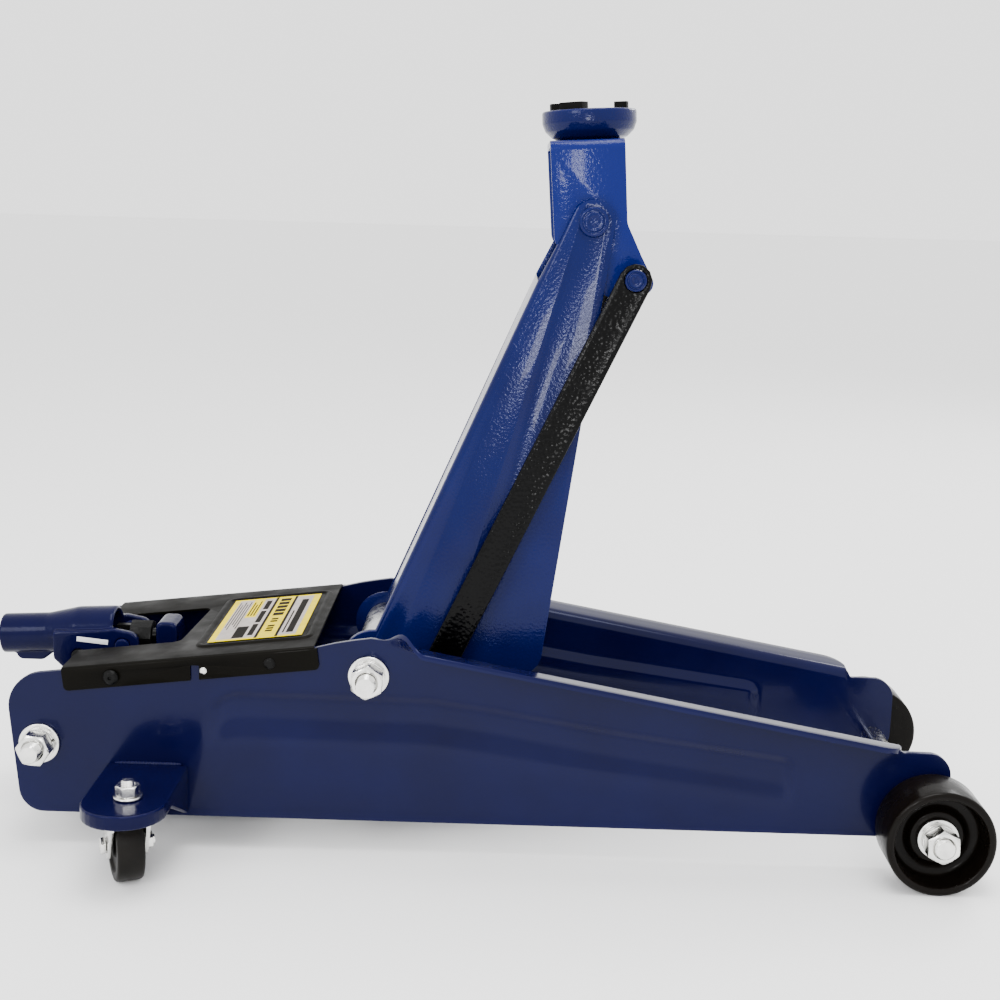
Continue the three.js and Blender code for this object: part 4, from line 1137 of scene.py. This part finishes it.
# %% Links
for side, sign in SIDES:
    body = side + "_link"
    link = bevelled(cleaned(body), 0.8 * MM, 3, 30)
    piece(body + "_bar", link, body, link_black, [body])
    stud = bevelled(cleaned(side + "_link_stud"), 0.4 * MM, 2, 40)
    piece(side + "_link_stud_turned", stud, "chassis", ground_steel, [side + "_link_stud"])
low_y, high_y = span("link_top_pin", 1)
pin = peened_pin((link_pin.x, 0, link_pin.z), high_y - low_y, 6.4 * MM, 6.5 * MM, 2 * MM)
piece("link_top_pin_peened", pin, "saddle_bracket", arm_blue, ["link_top_pin"])
print("links are", round((link_pin - link_foot).length * 1000, 1), "mm between their pins")

# %% [markdown]
# ## Saddle bracket
# The bracket is an inverted channel like the arm, bent from the same sheet with a rounder fold.
# It leans back by a few degrees, so its fold is rounded square to that lean.

# %% Saddle bracket
bracket_fold = 6 * MM
bracket_mesh = cleaned("saddle_bracket")
tilt = math.radians(3.5)
bracket_up = Vector((-math.sin(tilt), 0, math.cos(tilt)))
bracket_outer = span("saddle_bracket", 1)[1]
top_height = max((v.co - eye).dot(bracket_up) for v in bracket_mesh.vertices)
for side, sign in SIDES:
    edge_point = Vector((eye.x, sign * bracket_outer, eye.z)) + bracket_up * top_height
    round_fold(bracket_mesh, edge_point, bracket_up, (0, sign, 0), bracket_fold)
bevelled(bracket_mesh, 0.5 * MM, 2, 30)
body = "saddle_bracket"
piece(body + "_pressed", bracket_mesh, body, arm_blue, [body], 30)
print("bracket top stands", round(top_height * 1000, 1), "mm over the arm's pin")

# %% [markdown]
# ## Saddle and pad
# The saddle is a forged cup, turned on its rim and its stem. The stem's lowest points in the CAD
# mesh give its centre, since the whole cup leans with the bracket. The rubber pad in it has four
# lugs that look over the rim, with soft moulded edges.

# %% Saddle and pad
saddle_points = [v.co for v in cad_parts["saddle"].data.vertices]
stem_length, stem_r = 9 * MM, 9.5 * MM
foot = min(point.dot(bracket_up) for point in saddle_points)
seat_height = foot + stem_length
stem_points = [point for point in saddle_points if point.dot(bracket_up) < foot + 1 * MM]
stem_centre = sum(stem_points, Vector()) / len(stem_points)
seat = stem_centre + bracket_up * (seat_height - stem_centre.dot(bracket_up))
rim = 29.5 * MM
rim_top = max(point.dot(bracket_up) for point in saddle_points) - seat_height
cup = [
    (0, -stem_length), (stem_r, -stem_length, 0.8 * MM), (stem_r, 0, 0.3 * MM), (rim * 0.62, 0, 2 * MM),
    (rim * 0.8, 2.2 * MM, 3 * MM), (rim * 0.94, 6.2 * MM, 3 * MM), (rim, 11 * MM, 2 * MM),
    (rim, rim_top, 1.5 * MM), (rim - 3.6 * MM, rim_top, 1.4 * MM), (rim - 4.4 * MM, 8.5 * MM, 1 * MM),
    (0, 8.5 * MM, 0),
]
saddle_turned = turned(cup, seat, bracket_up, 128, 1 * MM)
piece("saddle_turned", saddle_turned, "saddle", arm_blue, ["saddle"])
pad_mesh = bevelled(cleaned("saddle_pad"), 1.5 * MM, 3, 40)
piece("saddle_pad_moulded", pad_mesh, "saddle", pad_rubber, ["saddle_pad"])
print("saddle rim radius", round(rim, 4))

# %% [markdown]
# ## Hydraulic unit
# The block, reservoir and ram sit between the plates. The block is a casting, so it is remeshed
# and smoothed; the turned pieces only need dulled edges.

# %% Block, reservoir and ram
block_mesh = casting("hydraulic_block", 1.1 * MM, 5)
piece("hydraulic_block_cast", block_mesh, "chassis", cast_blue, ["hydraulic_block"], 60)
blue, black_steel = (cast_blue, "blue_paint"), (part_black, "black_steel")
bright, pin_blue = (ground_steel, "bright_steel"), (cast_blue, "black_steel")
dulled = [
    ("reservoir", (sheet_blue, "blue_paint"), 0.6), ("ram_cylinder", bright, 0.4), ("gland_nut", blue, 0.8),
    ("ram_rod", bright, 0.5), ("crosshead", black_steel, 0.9), ("pump_plunger", bright, 0.6),
    ("pump_roller", black_steel, 0.5), ("near_socket_pin", pin_blue, 0.6), ("far_socket_pin", pin_blue, 0.6),
]
moving = {"ram_rod": "ram", "crosshead": "ram", "pump_plunger": "pump_plunger"}
moving.update({name: "handle_socket" for name in ("pump_roller", "near_socket_pin", "far_socket_pin")})
for name, (material, slot_name), width in dulled:
    mesh = bevelled(cleaned(name), width * MM, 2, 32)
    piece(name + "_dulled", mesh, moving.get(name, "chassis"), material, [name])
print("dulled pieces:", len(dulled))

# %% [markdown]
# ## Handle socket and release valve
# The socket is one casting: a tube for the pole that grows into two cheeks round its pivot and its
# roller. The fillets between tube and cheeks are large. The mouth has a slot for the pole's key.

# %% Handle socket
socket_pivot, roller = middle("near_socket_pin"), middle("pump_roller")
socket_tilt = math.radians(3)
socket_axis = Vector((-math.cos(socket_tilt), 0, -math.sin(socket_tilt)))
swell_start = Vector((socket_pivot.x - 7 * MM, 0, socket_pivot.z + 4.2 * MM))
swell_r, swell_end = 17 * MM, 46 * MM
swell_profile = [
    (13.8 * MM, 0), (swell_r, 0, 3 * MM), (swell_r, 26 * MM, 8 * MM),
    (13.4 * MM, swell_end, 8 * MM), (13 * MM, swell_end),
]
swell = turned(swell_profile, swell_start, socket_axis, 64)
keep = bmesh.new()
keep.from_mesh(swell)
bmesh.ops.bisect_plane(
    keep, geom=keep.verts[:] + keep.edges[:] + keep.faces[:], plane_co=(0, 0, roller.z + 10.5 * MM),
    plane_no=(0, 0, -1), clear_outer=True,
)
bmesh.ops.holes_fill(keep, edges=[edge for edge in keep.edges if edge.is_boundary])
keep.to_mesh(swell)
keep.free()
socket_mesh = casting("handle_socket", 0.8 * MM, 9, swell)
body = "handle_socket"
piece(body + "_cast", socket_mesh, body, cast_blue, [body], 70)
print("socket has", len(socket_mesh.polygons), "faces")

# %% [markdown]
# ### Sticker and release spindle
# A small white sticker lies on the near cheek of the socket, left blank here. The release valve
# ends in a black knuckle that a key on the pole turns.

# %% Sticker and release spindle
cheek_y = max(abs(value) for value in span("near_socket_pin", 1)) - 1.5 * MM
sticker = plate(
    [
        (roller.x - 1 * MM, roller.z + 10.2 * MM), (roller.x + 19.5 * MM, roller.z + 8.2 * MM),
        (roller.x + 19.8 * MM, roller.z + 11.4 * MM), (roller.x - 0.7 * MM, roller.z + 13.4 * MM),
    ],
    -cheek_y - 0.25 * MM, -cheek_y + 0.1 * MM, 0.05 * MM,
)
sticker_white = soft_black("sticker_white", (0.7, 0.7, 0.7), (0.8, 0.8, 0.8), 0.4, 0.00001)
piece("socket_sticker", sticker, "handle_socket", sticker_white)
spindle = bevelled(cleaned("release_spindle"), 0.9 * MM, 2, 40)
body = "release_spindle"
piece(body + "_dulled", spindle, body, part_black, [body])
print("sticker lies", round(cheek_y * 1000, 1), "mm from the middle")

# %% [markdown]
# ## Cover plate
# The cover is thin sheet, powder coated black, folded down over both plates. Its opening lets the
# socket swing, and a raised bead runs round the label to stiffen it.

# %% Cover
slope = math.atan2(crest_foot.y - back_top.y, crest_foot.x - back_top.x)
cover_up = Vector((-math.sin(slope), 0, math.cos(slope)))
cover_along = Vector((math.cos(slope), 0, math.sin(slope)))
cover_mesh = cleaned("cover_plate")
cover_outer = span("cover_plate", 1)[1]
cover_fold = 2.6 * MM
cover_height = max(v.co.dot(cover_up) for v in cover_mesh.vertices)
for side, sign in SIDES:
    edge_point = cover_up * cover_height + Vector((0, sign * cover_outer, 0))
    round_fold(cover_mesh, edge_point, cover_up, (0, sign, 0), cover_fold, 4)
print("cover has", len(cover_mesh.polygons), "faces before the notch")

# %% [markdown]
# ### Notch of the cover
# A small notch in the near flange clears the rivet behind it. A boolean cut makes it, and the
# edges are bevelled after the cut, so that the notch's own edges are dulled too.

# %% Notch of the cover
notch_x = axle.x - 460 * MM
notch_top = along([tuple(back_top), tuple(crest_foot)], notch_x) - 3.5 * MM
notch = plate(
    [
        (notch_x - 2.6 * MM, notch_top - 14 * MM), (notch_x + 2.8 * MM, notch_top - 14 * MM),
        (notch_x + 2.8 * MM, notch_top), (notch_x - 2.6 * MM, notch_top),
    ],
    -cover_outer - 2 * MM, -cover_outer + 2.1 * MM, 0.6 * MM,
)
cutter = bpy.data.objects.new("cutter", notch)
bpy.context.scene.collection.objects.link(cutter)
difference = {"object": cutter, "operation": "DIFFERENCE", "solver": "EXACT"}
cover_mesh = applied(cover_mesh, ("BOOLEAN", difference))
bpy.data.objects.remove(cutter)
bevelled(cover_mesh, 0.35 * MM, 2, 30)
piece("cover_plate_folded", cover_mesh, "chassis", cover_black, ["cover_plate"], 30)
print("cover has", len(cover_mesh.polygons), "faces")

# %% [markdown]
# ### Screws and rivet of the cover
# The cover hangs on a socket screw at each side. The near flange also shows a rivet and the round
# head of a second screw. All are turned profiles, and the head of the socket screw is hollow.

# %% Cover screws
for side, sign in SIDES:
    screw = side + "_cover_screw"
    centre = middle(screw)
    inner, outer = sorted(abs(value) for value in span(screw, 1))
    head = outer - inner - 3 * MM
    top = head + 3 * MM
    profile = [
        (0, 0), (2.6 * MM, 0), (2.6 * MM, head), (4.8 * MM, head, 0.4 * MM),
        (4.8 * MM, head + 1.4 * MM, 1 * MM), (3.2 * MM, top, 1 * MM), (1.2 * MM, top, 0.2 * MM),
        (1 * MM, head + 1.6 * MM, 0.2 * MM), (0, head + 1.6 * MM),
    ]
    screw_mesh = turned(profile, (centre.x, sign * inner, centre.z), (0, sign, 0), 48, 0.2 * MM)
    piece(screw + "_turned", screw_mesh, "chassis", part_black, [screw])
print("screw heads stand", round(top * 1000, 1), "mm from the screws' inner ends")

# %% Rivet and second screw
def button(name, x, z, radius, height, material):
    """A low round head on the near flange of the cover."""
    profile = [
        (0, -1 * MM), (radius, -1 * MM), (radius, height * 0.25, 0.3 * MM),
        (radius * 0.6, height, radius * 0.5), (0, height),
    ]
    mesh = turned(profile, (x, -cover_outer, z), (0, -1, 0), 40, 0.2 * MM)
    piece(name, mesh, "chassis", material)


fold_line = [tuple(back_top), tuple(crest_foot)]
rivet_x, screw_x = axle.x - 454.6 * MM, axle.x - 413.5 * MM
rivet_z = along(fold_line, rivet_x) - 7.5 * MM
screw_z = along(fold_line, screw_x) - 6.5 * MM
button("cover_rivet", rivet_x, rivet_z, 2.3 * MM, 1.1 * MM, zinc_plate)
button("cover_front_screw", screw_x, screw_z, 3.6 * MM, 1.6 * MM, part_black)
print("rivet and screw are", round((screw_x - rivet_x) * 1000, 1), "mm apart")

# %% [markdown]
# ### Bead round the label
# A raised bead is pressed into the cover round the label and stiffens it. It is swept: a flat
# half-round section is carried along a rounded rectangle on the cover's sloping face.

# %% Bead round the label
label = middle("cover_label")
label_low, label_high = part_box("cover_label")
label_half_x = (label_high.x - label_low.x) / 2
label_half_y = label_high.y


def on_cover(x, y, lift):
    """A point over the cover: x and y as seen from above, and lift square to its top face."""
    base = Vector((x, y, 0))
    base.z = (cover_height - x * cover_up.x) / cover_up.z
    return base + cover_up * lift


def bead(half_x, half_y, width, height):
    """A raised half-round frame pressed into the cover round the label."""
    path = rounded([(-half_x, -half_y), (half_x, -half_y), (half_x, half_y), (-half_x, half_y)], 6 * MM, 8)
    section = [(-0.5, -0.3), (-0.32, 0.55), (-0.12, 0.95), (0.12, 0.95), (0.32, 0.55), (0.5, -0.3)]
    verts, count = [], len(path)
    for i, point in enumerate(path):
        along_path = (path[(i + 1) % count] - path[i - 1]).normalized()
        across = Vector((along_path.y, -along_path.x))
        for a, h in section:
            spot = point + across * (a * width)
            verts.append(on_cover(label.x + spot.x, spot.y, h * height))
    n = len(section)
    faces = [
        (i * n + j, i * n + (j + 1) % n, (i + 1) % count * n + (j + 1) % n, (i + 1) % count * n + j)
        for i in range(count)
        for j in range(n)
    ]
    return mesh_of(verts, faces)


bead_mesh = bead(label_half_x + 5.5 * MM, label_half_y + 6 * MM, 5 * MM, 1 * MM)
piece("cover_bead", bead_mesh, "chassis", cover_black)
print("bead has", len(bead_mesh.polygons), "faces")

# %% [markdown]
# ### The label
# A printed film: a yellow ground with a white panel, a bold dark line, small lines of text drawn
# only as bars, and a grey panel at the rear. The inks are films of their own, a few hundredths of
# a millimetre thick, so that the print stays sharp in any view.

# %% Inks
def ink(name, dark, light, roughness):
    """A printed colour: nearly flat, with the faint unevenness of vinyl."""
    material, tree, shader = node_material(name)
    space = texture_space(tree)
    drift = ramp(tree, noise(tree, space, 120, 3), 0.3, 0.7, dark, light)
    tree.links.new(drift, shader.inputs["Base Color"])
    shader.inputs["Roughness"].default_value = roughness
    shader.inputs["Specular IOR Level"].default_value = 0.01
    bump(tree, shader, [(noise(tree, space, 200, 2), 0.00005)])
    return material


ink_yellow = ink("ink_yellow", (0.58, 0.44, 0.002), (0.68, 0.53, 0.006), 0.35)
ink_white = ink("ink_white", (0.30, 0.27, 0.25), (0.38, 0.34, 0.32), 0.4)
ink_dark = ink("ink_dark", (0.004, 0.003, 0.002), (0.008, 0.006, 0.004), 0.45)
print("inks:", ink_yellow.name, ink_white.name, ink_dark.name)

# %% Printed label
BOX_FACES = ((0, 3, 2, 1), (4, 5, 6, 7), (0, 1, 5, 4), (1, 2, 6, 5), (2, 3, 7, 6), (3, 0, 4, 7))


def film(name, patches, lift, thickness, material, stands_for=()):
    """Printed patches (from the front edge back, from the near edge over, in mm) on the cover."""
    verts, faces = [], []
    for back0, back1, over0, over1 in patches:
        x0, x1 = label_high.x - back1 * MM, label_high.x - back0 * MM
        y0, y1 = -label_half_y + over0 * MM, -label_half_y + over1 * MM
        faces += [tuple(len(verts) + k for k in quad) for quad in BOX_FACES]
        for h in (lift, lift + thickness):
            verts += [on_cover(x, y, h * MM) for x, y in ((x0, y0), (x1, y0), (x1, y1), (x0, y1))]
    piece(name, mesh_of(verts, faces), "chassis", material, stands_for)


film("cover_label_ground", [(0, 60, 0, 100)], 0.3, 0.3, ink_yellow, ["cover_label"])
white = [(4.5, 16, 3, 97), (31, 38.5, 3, 97), (38.5, 46, 3, 52), (46, 56, 3, 97)]
film("cover_label_white", white, 0.6, 0.06, ink_white)
words = [(7, 11.5, 8, 88), (13, 14, 8, 60), (16, 17.8, 1, 99), (29.2, 31, 1, 99), (38.5, 46, 4, 30)]
words += [(20, 27, start, start + 6.5) for start in (52, 61, 70, 79, 88)]
words += [(21.5, 26, start, start + 3.4) for start in (14, 19.5, 25, 36, 41.5)]
words += [(33, 36.6, 8, 34), (33, 36.6, 38, 66), (33, 36.6, 70, 92)]
words += [(40, 40.8, 56, 92), (42, 42.8, 56, 84), (44, 44.8, 56, 90)]
words += [(47.2 + k * 1.8, 47.8 + k * 1.8, 26 + 5 * (k % 3), 92 - 6 * (k % 2)) for k in range(5)]
film("cover_label_words", words, 0.66, 0.05, ink_dark)
print("label has", len(words), "dark patches")

# %% [markdown]
# ## Caster shelves
# Each caster hangs from a pressed shelf welded to its plate. The shelf is smoothed like a deep
# pressing, and the weld is a row of puddles, each a little thicker in its middle.

# %% Caster shelves
def weld(centre, length, radius):
    """A run of weld along X: overlapping puddles, one every two millimetres or so."""
    count, rings = max(int(length / (0.4 * MM)), 8), []
    for k in range(count + 1):
        x = centre[0] - length / 2 + length * k / count
        ends = math.sqrt(max(1 - abs(2 * k / count - 1) ** 8, 0.02))
        r = radius * ends * (0.86 + 0.14 * abs(math.sin(x / (2.2 * MM) * math.pi)))
        angles = [math.pi * j / 8 for j in range(16)]
        rings.append([Vector((x, centre[1] + r * math.cos(a), centre[2] + r * math.sin(a))) for a in angles])
    return ringed(rings, 16)


for side, sign in SIDES:
    bracket = side + "_caster_bracket"
    shelf = casting(bracket, 0.9 * MM, 5)
    piece(bracket + "_pressed", shelf, "chassis", cast_blue, [bracket], 60)
    shelf_back, shelf_front = span(bracket, 0)
    shelf_top = span(bracket, 2)[1]
    seam_y = sign * (half_width + 0.9 * MM)
    joint = Vector(((shelf_back + shelf_front) / 2, seam_y, shelf_top + 0.2 * MM))
    seam = weld(joint, shelf_front - shelf_back - 8 * MM, 1.7 * MM)
    piece(bracket + "_weld", seam, "chassis", cast_blue, angle=80)
print("shelves are", round((shelf_front - shelf_back) * 1000, 1), "mm long")

# %% [markdown]
# ## Kingpins
# A kingpin holds each fork under its shelf, with its head in the ball race and an M8 nut on top.
# The nut's washer is a piece of its own, and it keeps clear of both.

# %% Kingpins
king_nut_flats, king_nut_bore = 13 * MM, 4.1 * MM
king_r, king_head_r, king_head = 4 * MM, 7 * MM, 2.3 * MM
king_pitch = 1.25 * MM
king_washer_height = 1.6 * MM
under_nut = 1.65 * MM
for side, sign in SIDES:
    nut = side + "_kingpin_nut"
    centre = middle(nut)
    low_z, high_z = span(nut, 2)
    spot = Vector((centre.x, centre.y, low_z))
    flat = washer(spot, (0, 0, 1), 8.6 * MM, king_r + GAP, king_washer_height)
    piece(nut + "_washer", flat, "chassis", zinc_plate)
    nut_foot = spot + Vector((0, 0, under_nut))
    nut_height_now = high_z - low_z - under_nut
    hexagon = hex_nut(nut_foot, (0, 0, 1), king_nut_flats, nut_height_now, king_nut_bore, 0.5)
    piece(nut + "_hex", hexagon, "chassis", zinc_plate, [nut], 25)
    pin_low, pin_high = span(side + "_kingpin", 2)
    sections = [
        (pin_low, pin_low + king_head, king_head_r, 0), (pin_low + 2.4 * MM, low_z, king_r, 0),
        (low_z + 0.01 * MM, pin_high, king_r, king_pitch),
    ]
    king = threaded((centre.x, centre.y, 0), (0, 0, 1), sections)
    piece(side + "_kingpin_turned", king, "chassis", zinc_plate, [side + "_kingpin"])
print("kingpins are", round((pin_high - pin_low) * 1000, 1), "mm long")

# %% [markdown]
# ## Caster forks and wheels
# The fork is pressed from zinc plated sheet. The tread is hard black plastic, with a hub that
# stands back from the rim. Each wheel is turned about the way its caster happens to head.

# %% Caster forks and wheels
caster_heading = {"near": math.radians(24), "far": math.radians(156)}
tread_half = 8.25 * MM
tread_recess = 1.8 * MM
for side, sign in SIDES:
    body, name = side + "_caster", side + "_caster_wheel"
    fork = side + "_caster_fork"
    fork_mesh = bevelled(cleaned(fork), 0.45 * MM, 2, 32)
    piece(fork + "_pressed", fork_mesh, body, zinc_plate, [fork])
    hub = middle(name)
    heading = Vector((math.cos(caster_heading[side]), math.sin(caster_heading[side]), 0))
    caster_r = (span(name, 2)[1] - span(name, 2)[0]) / 2
    recessed = -tread_half + tread_recess
    tread = [
        (3.3 * MM, -tread_half, 0.3 * MM), (7 * MM, -tread_half, 0.6 * MM), (8 * MM, recessed, 0.6 * MM),
        (caster_r - 6.5 * MM, recessed, 0.8 * MM), (caster_r - 5.5 * MM, -tread_half, 0.6 * MM),
        (caster_r, -tread_half, 2 * MM),
    ]
    tread += [(r, -h, e) for r, h, e in reversed(tread)]
    tyre = turned(tread, hub, heading, 96)
    piece(name + "_moulded", tyre, name, caster_tread, [name])
    axle_piece = bevelled(cleaned(body + "_axle"), 0.35 * MM, 2, 35)
    piece(body + "_axle_bolt", axle_piece, body, zinc_plate, [body + "_axle"])
    print(side, "caster heading", [round(value, 3) for value in heading])
